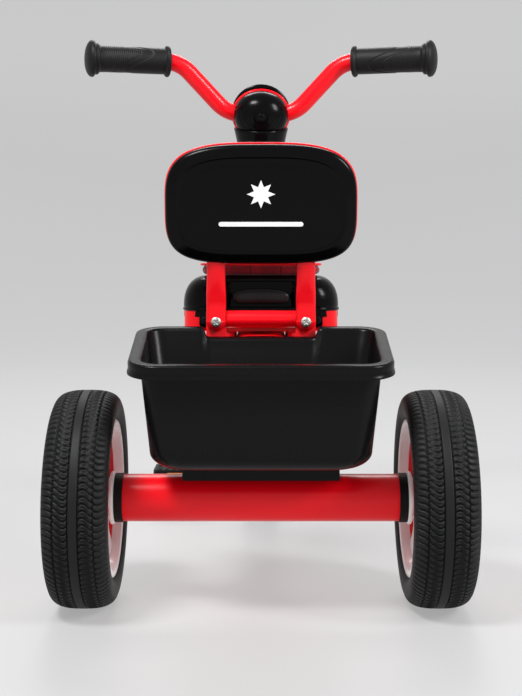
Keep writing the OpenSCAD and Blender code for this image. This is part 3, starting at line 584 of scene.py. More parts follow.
def repaint(node, mat):  # a CAD piece whose shape is right keeps it and takes a new finish
    obj = next(o for o in bpy.data.objects if o.type == "MESH" and o.name == frame["nodes"][node].name)
    obj.data.materials.clear()
    obj.data.materials.append(mat)
    return obj


def softCopy(node, name, mat, body, width, angle=35):  # the CAD shape with its edges rounded over
    mesh = frame["nodes"][node].data.copy()
    mesh.name = name
    tidy = bmesh.new()
    tidy.from_mesh(mesh)
    bmesh.ops.remove_doubles(tidy, verts=tidy.verts, dist=2e-6)
    bmesh.ops.dissolve_limit(tidy, angle_limit=math.radians(1.0), verts=tidy.verts, edges=tidy.edges)
    tidy.to_mesh(mesh)
    tidy.free()
    mesh.materials.clear()
    mesh.materials.append(mat)
    for face in mesh.polygons:
        face.use_smooth = True
    piece = bpy.data.objects.new(name, mesh)
    bpy.context.scene.collection.objects.link(piece)
    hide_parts(node)
    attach(piece, body)
    bevelled(piece, width, 3, angle)
    normals = piece.modifiers.new("normals", "WEIGHTED_NORMAL")
    normals.keep_sharp = False
    return piece


print("frame tubes")
for node in ("main_tube", "bridge_tube", "crossbar", "head_tube", "rear_axle_tube", "fork"):
    repaint(node, red)
for node in ("rear_axle_rod", "axle_washers", "axle_nuts", "head_cups", "steerer_tube", "lock_nut", "bar_clamp",
             "fender_bolt", "seat_bolts", "arm_nuts", "backrest_screws", "basket_screws"):
    repaint(node, zinc)
for node in ("axle_spacers", "bushes_rear_left", "bushes_rear_right", "crank_bushes", "sound_module",
             "basket_saddle"):
    repaint(node, darkBlack)
softCopy("seat_bracket", "seatBracket", red, "frame", 0.8 * mm)

armLook = {"flatHalf": 5 * mm, "wide": 10.6 * mm, "crease": 0.27, "knee": 28 * mm, "bend": 60 * mm, "step": 3 * mm}


def makeArm(name, node):
    x = middle(node).x
    bottom, top = low(node).z, high(node).z
    footY = high(node).y - armLook["flatHalf"]
    topY = low(node).y + armLook["flatHalf"]
    knee = Vector((x, footY, bottom + armLook["knee"]))
    end = Vector((x, topY, top - 2 * mm))
    path = roundedPath([Vector((x, footY, bottom + 6 * mm)), knee, end], armLook["bend"], 10)
    dense = []
    for a, b in zip(path, path[1:]):
        parts = max(1, int((b - a).length / armLook["step"]))
        dense += [a.lerp(b, k / parts) for k in range(parts)]
    dense.append(path[-1])

    def section(t):
        swell = smooth(ramp((t - armLook["crease"]) / 0.1))
        wide = armLook["wide"] - 0.6 * mm * swell
        return wide, armLook["flatHalf"] * (1 - swell) + 5.6 * mm * swell, 0.5 + 0.35 * swell

    verts, faces = sweep(dense, Vector((1, 0, 0)), section, 32)
    ear = []
    for y in (-1, 1):
        for k in range(33):
            a = math.pi * k / 32
            ear.append(Vector((x - armLook["wide"] * math.cos(a), footY + y * armLook["flatHalf"] * 0.985,
                               bottom + 10.6 * mm - 10.6 * mm * math.sin(a))))
    n = 33
    earFaces = [tuple(range(n)), tuple(reversed(range(n, 2 * n)))]
    earFaces += [(k, k + n, (k + 1) % n + n, (k + 1) % n) for k in range(n)]
    verts, faces = joined((verts, faces), (ear, earFaces))
    return newPiece(name, verts, faces, red, "frame", "red_paint", (node,))


makeArm("armLeft", "arm_left")
makeArm("armRight", "arm_right")
for tag in ("left", "right"):
    softCopy("post_" + tag, "post" + tag.title(), red, "frame", 2.4 * mm, 25)


def crossHead(name, centre, axis, up, r, h, node=None, mat=zinc, slot="zinc_steel"):  # pan head with a cross recess
    side = axis.cross(up)
    rings, rays = 10, 48
    verts = [centre + axis * h * 0.72]
    for i in range(1, rings + 1):
        t = i / rings
        for k in range(rays):
            a = 2 * math.pi * k / rays
            x, z = t * math.cos(a), t * math.sin(a)
            lift = h * (0.35 + 0.65 * math.sqrt(max(0.0, 1 - (t * 0.93) ** 2)))
            inCross = (abs(x) < 0.1 and abs(z) < 0.5) or (abs(z) < 0.1 and abs(x) < 0.5)
            verts.append(centre + side * r * x + up * r * z + axis * (lift - (0.35 * h if inCross else 0)))
    for k in range(rays):
        a = 2 * math.pi * k / rays
        verts.append(centre + side * r * math.cos(a) + up * r * math.sin(a) - axis * 0.3 * mm)
    faces = [(0, 1 + k, 1 + (k + 1) % rays) for k in range(rays)]
    for i in range(rings):
        for k in range(rays):
            a, b = 1 + i * rays, 1 + (i + 1) * rays
            faces.append((a + k, b + k, b + (k + 1) % rays, a + (k + 1) % rays))
    faces.append(tuple(1 + rings * rays + k for k in range(rays)))
    return newPiece(name, verts, faces, mat, "frame", slot, (node,) if node else ())


boltLook = {"r": 5.5 * mm, "high": 3.4 * mm, "seatR": 4 * mm, "seatHigh": 1.4 * mm}
print("fasteners")
boltZ = middle("arm_bolts").z
back, up = Vector((0, -1, 0)), Vector((0, 0, 1))
tilt = Matrix.Rotation(math.radians(38), 3, "Y")
for tag in ("left", "right"):
    head = Vector((middle("arm_" + tag).x, low("arm_bolts").y + boltLook["high"], boltZ))
    node = "arm_bolts" if tag == "left" else None
    crossHead("armBolt" + tag.title(), head, back, tilt @ up, boltLook["r"], boltLook["high"], node)
    x = low("seat_screws").x + boltLook["seatR"] if tag == "left" else high("seat_screws").x - boltLook["seatR"]
    head = Vector((x, low("seat_screws").y + 1.3 * mm, middle("seat_screws").z))
    node = "seat_screws" if tag == "left" else None
    crossHead("seatScrew" + tag.title(), head, back, up, boltLook["seatR"], boltLook["seatHigh"], node, darkBlack,
              "satin_black")


basketLook = {"wall": 2.4 * mm, "flange": 11 * mm, "roll": 3.2 * mm, "skirt": 14 * mm, "notchHalf": 60 * mm,
              "notchDeep": 11 * mm, "floorHalf": 107 * mm, "footHigh": 17 * mm, "footWide": 27 * mm, "steps": 9}
rimTilt = math.radians(9)
rimBack, rimFront = low("basket").y, high("basket").y
rimLength = (rimFront - rimBack) / math.cos(rimTilt)
rimHalfFront = size("basket").x / 2
rimHalfBack = rimHalfFront - 6 * mm
rimLow = high("basket").z - rimLength * math.sin(rimTilt) - 2.4 * mm
floorZ = low("basket").z
floorBack, floorFront = axleLeft.y - 84 * mm, axleLeft.y + 22 * mm


def rimLoop(inset, rise, r=30 * mm):  # a loop in the tilted plane of the rim
    loop = []
    half, halfL = (rimHalfFront + rimHalfBack) / 2 - inset, rimLength / 2 - inset
    for x, y in roundRect(half, halfL, r - inset, basketLook["steps"]):
        x *= 1 + (rimHalfFront - rimHalfBack) / 2 / half * (y / halfL)
        along = y + rimLength / 2
        point = Vector((x, rimBack + along * math.cos(rimTilt) - rise * math.sin(rimTilt),
                        rimLow + along * math.sin(rimTilt) + rise * math.cos(rimTilt)))
        loop.append(point)
    return loop


def floorLoop(inset, z, r=26 * mm):
    halfL = (floorFront - floorBack) / 2
    return [Vector((x, (floorBack + floorFront) / 2 + y, z))
            for x, y in roundRect(basketLook["floorHalf"] - inset, halfL - inset, r - inset, basketLook["steps"])]


def between(a, b, t):
    return [p.lerp(q, t) for p, q in zip(a, b)]


# One loop of the rounded foot; it goes from the floor at 0 degrees to the wall at 90
def foot(bottom, top, turn, lift):
    a, tall = math.radians(turn), basketLook["footHigh"]
    inset = basketLook["footWide"] * (1 - math.sin(a))
    wallLoop = between(bottom, top, tall * (1 - math.cos(a)) / (rimLow - floorZ))
    midY = (floorBack + floorFront) / 2
    half, halfL = basketLook["floorHalf"], (floorFront - floorBack) / 2
    return [Vector((p.x * (1 - inset / half), midY + (p.y - midY) * (1 - 0.75 * inset / halfL),
                    floorZ + lift + tall * (1 - math.cos(a)))) for p in wallLoop]


def makeBasket():
    w, fl, sk, roll = basketLook["wall"], basketLook["flange"], basketLook["skirt"], basketLook["roll"]
    bottomOut, topOut = floorLoop(0, floorZ), rimLoop(fl, 0)
    bottomIn, topIn = floorLoop(w, floorZ + w), rimLoop(fl + w, w)
    loops = [floorLoop(44 * mm, floorZ)]
    loops += [foot(bottomOut, topOut, 10 * k, 0) for k in range(10)]
    loops += [between(bottomOut, topOut, t) for t in (0.25, 0.5, 0.75, 0.9, 0.97)]
    loops += [rimLoop(fl - 1 * mm, -0.4 * mm), rimLoop(w + 1 * mm, -0.4 * mm), rimLoop(w, -1.6 * mm)]
    loops += [rimLoop(w, w - sk + 1 * mm), rimLoop(w * 0.7, w - sk), rimLoop(0.2 * mm, w - sk),
              rimLoop(-0.9 * mm, w - sk + 0.5 * mm), rimLoop(-0.9 * mm, w - sk + 2.2 * mm),
              rimLoop(0.1 * mm, w - sk + 2.8 * mm), rimLoop(0, -4 * mm)]
    for k in range(0, 7):
        a = math.radians(15 * k)
        loops.append(rimLoop(roll * (1 - math.cos(a)), w - roll + roll * math.sin(a)))
    loops += [rimLoop(fl - 1.6 * mm, w - 0.2 * mm), rimLoop(fl + w * 0.55, w - 0.7 * mm), rimLoop(fl + w, w - 3 * mm)]
    loops += [between(bottomIn, topIn, t) for t in (0.9, 0.7, 0.45, 0.25)]
    loops += [foot(bottomIn, topIn, 10 * k, w) for k in reversed(range(10))]
    loops += [floorLoop(44 * mm, floorZ + w)]
    wide = loops[14]  # the widest loop sets how finely each side is cut
    counts = [max(1, round((q - p).length / (4 * mm))) for p, q in pairs(wide)]
    dense = [divided(loop, counts) for loop in loops]
    half, deep = basketLook["notchHalf"], basketLook["notchDeep"]
    for loop in dense:
        for p in loop:
            nearFront = ramp((p.y - rimFront + 26 * mm) / (8 * mm))
            ease = smooth(ramp((half + 3 * mm - abs(p.x)) / (5 * mm)))
            height = ramp((p.z - floorZ - 70 * mm) / (30 * mm))
            p.z -= deep * nearFront * ease * height
            if p.y > floorFront - 30 * mm and abs(p.x) < half + 3 * mm and height > 0:
                p.y -= 0.8 * mm * ease * height
    verts, faces = skin(dense)
    return newPiece("basketTub", verts, faces, satinBlack, "frame", "satin_black", ("basket",))


print("basket")
makeBasket()


print("seat")
seatLook = {"nose": 0.62, "apron": 68 * mm, "bead": 1.3 * mm, "foot": 7 * mm, "lip": 4.5 * mm, "crown": 25 * mm,
            "holdHalf": 37 * mm, "holdHigh": 34 * mm, "holdDeep": 10 * mm}
seatBack, seatNose = low("seat_shell").y, high("seat_shell").y
seatTop, shellLow = high("seat_shell").z, high("seat_base").z


def seatLoop(inset, z):  # the seat's outline at one height
    halfW, length = size("seat_shell").x / 2, seatNose - seatBack
    loop = []
    for x, y in roundRect(1, 1, 0.34, 12):
        along = (y + 1) / 2
        width = halfW * (1 - (1 - seatLook["nose"]) * max(0.0, along - 0.15) / 0.85) - inset
        loop.append(Vector((x * width, seatBack + inset + (length - 2 * inset) * along, z)))
    return loop


def makeSeatShell():
    bead, tall = seatLook["bead"], seatTop - shellLow
    edge, lip = seatLook["foot"], seatLook["lip"]
    shape = [(4.0 * mm, -edge), (1.6 * mm, -edge), (1.2 * mm, 0.6 * mm - edge), (bead, 0), (0.2 * mm, 0.8 * mm),
             (0, 2.0 * mm), (0.3 * mm, 3.2 * mm), (bead, 3.7 * mm), (0.9 * mm, lip)]
    for k in range(1, 13):
        a = math.radians(7.5 * k)
        shape.append((0.9 * mm + seatLook["crown"] * (1 - math.cos(a)) ** 1.2, lip + (tall - lip) * math.sin(a)))
    shape += [(30 * mm, tall), (50 * mm, tall)]
    counts = [max(1, round(abs(a.x - b.x) / (2 * mm))) if a.y < seatBack + 30 * mm else 1
              for a, b in pairs(seatLoop(0, 0))]
    loops = [divided(seatLoop(inset, shellLow + z), counts) for inset, z in shape]
    dense = [loops[0]]
    for a, b in zip(loops, loops[1:]):
        parts = max(1, round((a[0] - b[0]).length / (1.5 * mm))) if b[0].z < seatTop - 0.1 * mm else 1
        dense += [[p.lerp(q, (k + 1) / parts) for p, q in zip(a, b)] for k in range(parts)]
    for loop in dense:
        for p in loop:
            rise = p.z - shellLow
            ease = ramp((seatLook["holdHalf"] - abs(p.x)) / (2.5 * mm)) * ramp(rise / (1.5 * mm))
            ease *= ramp((seatLook["holdHigh"] - rise) / (2.5 * mm))
            if p.y < seatBack + 14 * mm:
                p.y += (seatBack + seatLook["holdDeep"] - p.y) * ease
    apron = roundRect(seatLook["apron"], 11 * mm, 4 * mm, 6)
    midZ = (low("seat_shell").z + shellLow + 2 * mm) / 2
    flange = [[Vector((x, seatBack + 0.4 * mm + y, midZ + z)) for x, z in apron] for y in (0.0, 2.0 * mm)]
    verts, faces = joined(skin(dense), skin(flange))
    return newPiece("seatShell", verts, faces, glossBlack, "frame", "gloss_black", ("seat_shell",))


bevelled(makeSeatShell(), 0.5 * mm, 2, 60)
softCopy("seat_base", "seatTray", redPlastic, "frame", 1.4 * mm, 30)
handleLook = {"half": 31 * mm, "thick": 8.0 * mm, "arch": 2.0 * mm}


def makeHandle():
    centre = middle("seat_handle")
    path = []
    for k in range(-20, 21):
        t = k / 20
        path.append(centre + Vector((handleLook["half"] * t, -0.5 * mm, handleLook["arch"] * (0.5 - t * t))))

    def section(t):
        full = math.sqrt(max(0.0, 1 - (2 * t - 1) ** 4)) * 0.75 + 0.25
        return 4.4 * mm * full, handleLook["thick"] * full, 0.8

    verts, faces = sweep(path, Vector((0, 1, 0)), section, 28)
    return newPiece("seatHandle", verts, faces, greyPlastic, "frame", "satin_black", ("seat_handle",))


makeHandle()

padLook = {"pressure": 3.6, "frames": 18, "quality": 6, "stretch": 30, "bend": 6, "fill": 0.8}


def puff(piece, voxel, cap, keepFlat):  # cloth simulation under pressure, then applied
    scene = bpy.context.scene
    for other in bpy.context.selected_objects:
        other.select_set(False)
    bpy.context.view_layer.objects.active = piece
    piece.select_set(True)
    remesh = piece.modifiers.new("remesh", "REMESH")
    remesh.mode, remesh.voxel_size, remesh.use_smooth_shade = "VOXEL", voxel, True
    bpy.ops.object.modifier_apply(modifier="remesh")
    start = [v.co.copy() for v in piece.data.vertices]
    cloth = piece.modifiers.new("cloth", "CLOTH")
    cloth.settings.quality = padLook["quality"]
    cloth.settings.use_pressure = True
    cloth.settings.uniform_pressure_force = padLook["pressure"]
    cloth.settings.effector_weights.gravity = 0
    cloth.settings.tension_stiffness = padLook["stretch"]
    cloth.settings.compression_stiffness = padLook["stretch"]
    cloth.settings.bending_stiffness = padLook["bend"]
    cloth.point_cache.frame_start, cloth.point_cache.frame_end = 1, padLook["frames"]
    for k in range(1, padLook["frames"] + 1):
        scene.frame_set(k)
    view = piece.evaluated_get(bpy.context.evaluated_depsgraph_get())
    moved = [v.co.copy() for v in view.data.vertices]
    piece.modifiers.remove(cloth)
    scene.frame_set(1)
    for vert, a, b in zip(piece.data.vertices, start, moved):
        step = b - a
        if step.length > cap:
            step = step.normalized() * cap
        vert.co = keepFlat(a + step)
    fine = piece.modifiers.new("fine", "SUBSURF")
    fine.levels = fine.render_levels = 1
    return piece


def padOutline(points, k):  # the outline scaled about its middle
    cx, cy = (sum(values) / len(points) for values in zip(*points))
    return [(cx + (x - cx) * k, cy + (y - cy) * k) for x, y in points]


def makeSeatPad():
    a, b = low("seat_cushion"), high("seat_cushion")
    halfRear, length, depth = (b.x - a.x) / 2, b.y - a.y, b.z - a.z
    points = []
    for x, y in roundRect(1, 1, 0.34, 10):
        width = halfRear * (1 - 0.36 * (y + 1) / 2)
        points.append((x * width * 0.985, a.y + length * (y + 1) / 2))
    loops = []
    for k, z in ((0.55, 0.02), (0.97, 0.0), (1.0, 0.25), (1.0, 0.5), (0.975, 0.76), (0.9, 0.93), (0.7, 1.0),
                 (0.4, 1.0)):
        loops.append([Vector((x, y, a.z + 0.4 * mm + (depth - 1.6 * mm) * z)) for x, y in padOutline(points, k)])
    pad = newPiece("seatCushion", *skin(loops), seatCloth, "frame", "plaid_fabric", ("seat_cushion",))

    def keepFlat(after):
        after.z = max(after.z, a.z + 0.3 * mm)
        after.z = min(after.z, b.z + 2.5 * mm)
        return after

    puff(pad, 3.5 * mm, 3.2 * mm, keepFlat)
    return pad


makeSeatPad()


def piping(name, ring, away, r):  # a thin round welt along a closed ring; away is square to the ring's plane
    loops, n = [], len(ring)
    for k, p in enumerate(ring):
        ahead = (ring[(k + 1) % n] - ring[k - 1]).normalized()
        side = ahead.cross(away).normalized()
        turns = [math.pi * i / 4 for i in range(8)]
        loops.append([p + side * r * math.cos(a) + away * r * math.sin(a) for a in turns])
    return newPiece(name, *skin(loops, False, True), redPlastic, "frame", "red_plastic")


seatEdge = []
for x, y in roundRect(1, 1, 0.34, 12):
    a, b = low("seat_cushion"), high("seat_cushion")
    width = (b.x - a.x) / 2 * (1 - 0.36 * (y + 1) / 2)
    seatEdge.append(Vector((x * width * 0.99, a.y + (b.y - a.y) * (y + 1) / 2, b.z - 2.6 * mm)))
piping("seatPiping", seatEdge, Vector((0, 0, 1)), 1.4 * mm)

backLook = {"border": 12 * mm, "lean": math.radians(10), "topPower": 3.3, "footPower": 4.0, "rise": 10 * mm,
            "halfHigh": 64 * mm}
leanUp = Vector((0, -math.sin(backLook["lean"]), math.cos(backLook["lean"])))
leanBack = Vector((0, -math.cos(backLook["lean"]), -math.sin(backLook["lean"])))
backCentre = middle("backrest_shell")
backHalfW = size("backrest_shell").x / 2
backHalfH = backLook["halfHigh"]


def backPoint(a, halfW, halfH):  # the outline is rounder at its top than at its foot
    c, s = math.cos(a), math.sin(a)
    power = 2 / (backLook["topPower"] if s > 0 else backLook["footPower"])
    return halfW * math.copysign(abs(c) ** power, c), halfH * math.copysign(abs(s) ** power, s)


def backRing(halfW, halfH):
    return [backPoint(2 * math.pi * (k + 0.5) / 120, halfW, halfH) for k in range(120)]


def backLoop(inset, proud):  # a loop of the backrest outline; proud runs backwards from the shell's middle
    return [backCentre + Vector((x, 0, 0)) + leanUp * z + leanBack * proud
            for x, z in backRing(backHalfW - inset, backHalfH - inset)]


def makeBackShell():
    border, rise = backLook["border"], backLook["rise"]
    loops = [backLoop(3.2 * mm, -rise), backLoop(0.8 * mm, -rise), backLoop(0, -rise + 0.8 * mm),
             backLoop(0, rise - 9 * mm)]
    for k in range(1, 8):
        a = math.radians(10 * k)
        loops.append(backLoop(7 * mm * (1 - math.cos(a)), rise - 9 * mm + 6 * mm * math.sin(a)))
    loops += [backLoop(border - 2.5 * mm, rise - 1.0 * mm), backLoop(border - 0.8 * mm, rise - 0.4 * mm),
              backLoop(border, rise - 0.3 * mm), backLoop(border + 0.9 * mm, rise - 0.6 * mm),
              backLoop(border + 2.2 * mm, rise - 1.5 * mm), backLoop(border + 4 * mm, rise - 1.7 * mm)]
    loops += [backLoop(border + d * mm, rise - 1.7 * mm + 1.5 * mm * (d / 50) ** 0.6) for d in (9, 18, 30, 42, 50)]
    verts, faces = skin(loops)
    return newPiece("backShell", verts, faces, glossBlack, "frame", "gloss_black", ("backrest_shell",))


def makeBackPad():
    centre = middle("backrest_cushion")
    halfW, halfH, deep = size("backrest_cushion").x / 2, backHalfH, 8 * mm

    def loop(k, ahead):
        return [centre + Vector((x * k, 0, 0)) + leanUp * z * k - leanBack * ahead
                for x, z in backRing(halfW - 0.4 * mm, halfH - 0.4 * mm)]

    loops = [loop(0.6, -deep), loop(0.97, -deep), loop(1.0, -deep + 2 * mm), loop(1.0, 0), loop(0.985, 3 * mm),
             loop(0.93, 6 * mm), loop(0.8, 7 * mm), loop(0.5, 7.4 * mm)]
    pad = newPiece("backCushion", *skin(loops), backCloth, "frame", "plaid_fabric", ("backrest_cushion",))

    def keepFlat(after):
        behind = (after - centre).dot(leanBack)
        if behind > deep:
            after = after - leanBack * (behind - deep)
        aside = after.x - centre.x
        if abs(aside) > halfW + 0.6 * mm:
            after.x = centre.x + math.copysign(halfW + 0.6 * mm, aside)
        tall = (after - centre).dot(leanUp)
        if abs(tall) > halfH + 0.6 * mm:
            after = after - leanUp * (tall - math.copysign(halfH + 0.6 * mm, tall))
        return after

    puff(pad, 4.5 * mm, 6 * mm, keepFlat)
    return pad


print("backrest")
makeBackShell()
makeBackPad()
piping("backPiping", backLoop(-0.2 * mm, -9 * mm), leanBack, 1.3 * mm)


motifLook = {"base": 9.4 * mm, "rays": 8, "outer": 15 * mm, "inner": 8 * mm, "barHalf": 45 * mm, "barThick": 2.4 * mm}


def makeMotif():
    star = []
    for k in range(motifLook["rays"] * 2):
        a = math.pi * k / motifLook["rays"]
        r = motifLook["outer"] if k % 2 == 0 else motifLook["inner"]
        star.append((r * math.sin(a), 12 * mm + r * math.cos(a)))
    bar = [(x, y - 20 * mm) for x, y in roundRect(motifLook["barHalf"], motifLook["barThick"], 2.4 * mm, 5)]
    parts = []
    for shape in (star, bar):
        loops = [[backCentre + Vector((x, 0, 0)) + leanUp * z + leanBack * (motifLook["base"] + lift) for x, z in shape]
                 for lift in (0.0, 0.75 * mm)]
        parts.append(skin(loops))
    verts, faces = joined(*parts)
    return newPiece("backMotif", verts, faces, printWhite, "frame", "gloss_black", shadeSmooth=False)


makeMotif()


print("steering")
barR = 11 * mm
barS = (middle("bar_clamp") - frontAxle).dot(steerUp) + (size("bar_clamp").z - 2 * 16 * mm) / 2
barMid = steer(0, 0, barS)
gripLook = {"sweep": math.radians(15), "length": 110 * mm, "body": 17 * mm, "end": 23.5 * mm, "flange": 20.2 * mm}


def gripStart(side):
    node = "grip_left" if side < 0 else "grip_right"
    ahead = Vector((side * math.cos(gripLook["sweep"]), -math.sin(gripLook["sweep"]), 0))
    inner = high(node).x if side < 0 else low(node).x
    start = Vector((inner + side * gripLook["flange"] * math.sin(gripLook["sweep"]), 0, middle(node).z))
    start.y = high(node).y - gripLook["flange"] * math.cos(gripLook["sweep"]) * 0.98
    return start, ahead


def makeHandlebar():
    (leftStart, leftOut), (rightStart, rightOut) = gripStart(-1), gripStart(1)
    flat = 44 * mm
    points = [leftStart + leftOut * 98 * mm, leftStart - leftOut * 14 * mm, barMid + Vector((-flat, 0, 0)),
              barMid + Vector((flat, 0, 0)), rightStart - rightOut * 14 * mm, rightStart + rightOut * 98 * mm]
    path = roundedPath(points, 46 * mm, 12)
    verts, faces = sweep(path, Vector((0, 1, 0)), lambda t: (barR, barR, 1.0), 40)
    return newPiece("handlebarTube", verts, faces, red, "steering", "red_paint", ("handlebar",))


makeHandlebar()


def makeGrip(name, node, side):
    start, out = gripStart(side)
    up = Vector((0, 0, 1))
    length, bodyR, endR, flange = (gripLook[k] for k in ("length", "body", "end", "flange"))
    profile = [(11.2 * mm, 0), (flange - 1.5 * mm, 0), (flange, 1.2 * mm), (flange + 0.2 * mm, 3 * mm),
               (flange - 0.6 * mm, 4.6 * mm), (flange - 2.6 * mm, 6 * mm), (bodyR - 0.8 * mm, 7.5 * mm)]
    for k in range(150):
        u = 8 * mm + (length - 28 * mm) * k / 149
        profile.append((bodyR, u))
    profile += [(bodyR + 0.4 * mm, length - 19 * mm), (bodyR + 2.2 * mm, length - 18 * mm),
                (bodyR + 3.2 * mm, length - 16.2 * mm), (bodyR + 3.4 * mm, length - 14.6 * mm),
                (bodyR + 2.6 * mm, length - 13.4 * mm), (endR - 1.2 * mm, length - 12.4 * mm),
                (endR, length - 11 * mm), (endR, length - 9.4 * mm)]
    for k in range(1, 12):
        a = math.radians(90 * k / 12)
        profile.append((endR * math.cos(a) ** 0.9, length - 9.4 * mm + 9.4 * mm * math.sin(a)))
    profile.append((0.05 * mm, length))

    def ribbed(a, r, u):
        if not 9 * mm < u < length - 21 * mm:
            return r
        t = (u - 9 * mm) / (length - 30 * mm)
        edge = min(1.0, 12 * min(t, 1 - t))
        wave = 0.5 + 0.22 * math.sin(a * 2 + 0.6)
        ribs = math.sin(u / (2.6 * mm) * 2 * math.pi) if t > wave + 0.1 else 1.0 if t > wave - 0.1 else -1.0
        return r - edge * (0.5 * mm * (0.5 + 0.5 * ribs) + 0.5 * mm * (abs(abs(t - wave) - 0.1) < 0.015))

    verts, faces = revolve(profile, start, out, up, 144, ribbed)
    return newPiece(name, verts, faces, gripRubber, "steering", "grip_rubber", (node,))


makeGrip("gripLeft", "grip_left", -1)
makeGrip("gripRight", "grip_right", 1)

podLook = {"r": 38.5 * mm, "capR": 35.8 * mm, "capDeep": 32 * mm, "frontDeep": 40 * mm, "button": 5 * mm, "flat": 0.13}


def dome(r, deep, start, sign, wall=2.5 * mm, steps=26):
    outer = [(r * math.cos(a) + 1e-5, start + sign * deep * math.sin(a) ** 0.8)
             for a in (math.pi / 2 * k / steps for k in range(steps + 1))]
    inner = [((r - wall) * math.cos(a) + 1e-5, start + sign * (deep - wall) * math.sin(a) ** 0.8)
             for a in (math.pi / 2 * k / steps for k in range(steps, -1, -1))]
    return outer + inner + outer[:1]


def lowered(verts):  # the upper half of the rear cap and hoop is flatter than the shell ahead of them
    out = []
    for v in verts:
        rise = max(0.0, (v - barMid).dot(steerUp))
        out.append(v - steerUp * rise * podLook["flat"])
    return out


def makePod():
    r, capR = podLook["r"], podLook["capR"]
    shell = dome(r, podLook["frontDeep"], 2 * mm, 1, 8 * mm)
    shell = [(r + 0.35 * mm, 3.4 * mm) if k == 1 else p for k, p in enumerate(shell)]
    newPiece("podShell", *revolve(shell, barMid, steerAhead, steerUp, 120), glossBlack, "steering", "gloss_black",
             ("pod_shell",))
    band = [(r - 5 * mm, -4 * mm), (r - 1.4 * mm, -4 * mm), (r - 0.5 * mm, -3 * mm), (r - 0.2 * mm, -1 * mm),
            (r - 0.5 * mm, 1 * mm), (r - 1.4 * mm, 2 * mm), (r - 5 * mm, 2 * mm), (r - 5 * mm, -4 * mm)]
    verts, faces = revolve(band, barMid, steerAhead, steerUp, 120)
    newPiece("podBand", lowered(verts), faces, redPlastic, "steering", "red_plastic", ("pod_ring",))
    cap = dome(capR, podLook["capDeep"], -4 * mm, -1, steps=44)
    verts, faces = revolve(cap, barMid, steerAhead, steerUp, 160)
    faceMid = steerUp * 6 * mm
    rim, seamDeep = 27 * mm, 0.9 * mm
    shaped = []
    for v in verts:
        rel = v - barMid - faceMid
        flat = rel - steerAhead * rel.dot(steerAhead)
        gap = abs(flat.length - rim) / (1.3 * mm)
        inside = 1 if flat.length < rim else 0
        lower = ramp(0.5 - flat.dot(steerUp) / (18 * mm))
        push = seamDeep * max(0.0, 1 - gap) * lower - 0.5 * mm * inside * lower
        ringGap = abs((v - barMid - steerAhead * (v - barMid).dot(steerAhead)).length - 7.2 * mm) / (1.0 * mm)
        push += 0.6 * mm * max(0.0, 1 - ringGap)
        shaped.append(v + steerAhead * push)
    newPiece("podCap", lowered(shaped), faces, glossBlack, "steering", "gloss_black", ("pod_cap",))
    a, b = (middle("sound_button") - barMid).dot(steerAhead), podLook["button"]
    halfL = 4 * mm
    button = [(0.01 * mm, a + halfL), (b - 0.3 * mm, a + halfL), (b, a + halfL - 0.4 * mm), (b, a - halfL + 0.9 * mm),
              (b - 0.9 * mm, a - halfL), (b - 2 * mm, a - halfL + 0.4 * mm), (0.01 * mm, a - halfL + 0.7 * mm)]
    newPiece("soundButton", *revolve(button, barMid, steerAhead, steerUp, 56), satinBlack, "button", "satin_black",
             ("sound_button",))
    neckTop, neckLow = barS - 32 * mm, (low("neck_cover") - frontAxle).dot(steerUp) + 3 * mm
    neck = [(19 * mm, neckLow), (21 * mm, neckLow - 0.6 * mm), (23 * mm, neckLow + 1 * mm)]
    for k in range(24):
        t = k / 23
        neck.append((23.5 * mm + 12.3 * mm * t ** 1.25, neckLow + 2 * mm + (neckTop + 13 * mm - neckLow - 2 * mm) * t))
    neck += [(34 * mm, neckTop + 14 * mm), (28 * mm, neckTop + 14 * mm), (27 * mm, neckTop), (19 * mm, neckLow)]
    newPiece("neckCover", *revolve(neck, frontAxle, steerUp, Vector((1, 0, 0)), 96), glossBlack, "steering",
             "gloss_black", ("neck_cover",))


makePod()


fenderLook = {"r": 147 * mm, "half": 27.5 * mm, "from": 30, "to": 150, "thick": 2 * mm}


def makeFender():
    r, half, thick = fenderLook["r"], fenderLook["half"], fenderLook["thick"]
    section = []
    for k in range(25):
        x = -half + 2 * half * k / 24
        section.append((x, r - 7.5 * mm * abs(x / half) ** 5 - 1.6 * mm * (x / half) ** 2))
    inner = [(x * (1 - thick / half), y - thick) for x, y in reversed(section)]
    loops = []
    steps = 72
    for k in range(steps + 1):
        t = k / steps
        a = math.radians(fenderLook["from"] + (fenderLook["to"] - fenderLook["from"]) * t)
        ray = steerAhead * math.cos(a) + steerUp * math.sin(a)
        ends = min(1.0, 9 * min(t, 1 - t))
        narrow = 0.55 + 0.45 * math.sqrt(max(0.0, 1 - (1 - ends) ** 2))
        bead = 0.7 * mm if k in (1, 2, steps - 2, steps - 1) else 0
        loops.append([frontAxle + Vector((x * narrow, 0, 0)) + ray * (y + bead * (y > r - 8 * mm))
                      for x, y in section + inner])
    return newPiece("frontFender", *skin(loops), glossBlack, "steering", "gloss_black", ("fender",))


makeFender()


def makeCranks():
    pins = {side: Vector(joints["pedal_%s_spin" % tag]["pos_m"]) for side, tag in ((-1, "left"), (1, "right"))}
    r = 6 * mm
    far = size("crank_axle").x / 2
    crankX = abs(pins[1].x)
    points = [Vector((-far, pins[-1].y, pins[-1].z)), pins[-1], Vector((-crankX, frontAxle.y, frontAxle.z)),
              Vector((crankX, frontAxle.y, frontAxle.z)), pins[1], Vector((far, pins[1].y, pins[1].z))]
    verts, faces = sweep(roundedPath(points, 9 * mm, 8), Vector((0.3, 1, 0.2)), lambda t: (r, r, 1.0), 28)
    newPiece("crankAxle", verts, faces, zinc, "front_wheel", "zinc_steel", ("crank_axle",))
    return pins


pedalLook = {"half": 27 * mm, "thick": 10 * mm, "teeth": 7}


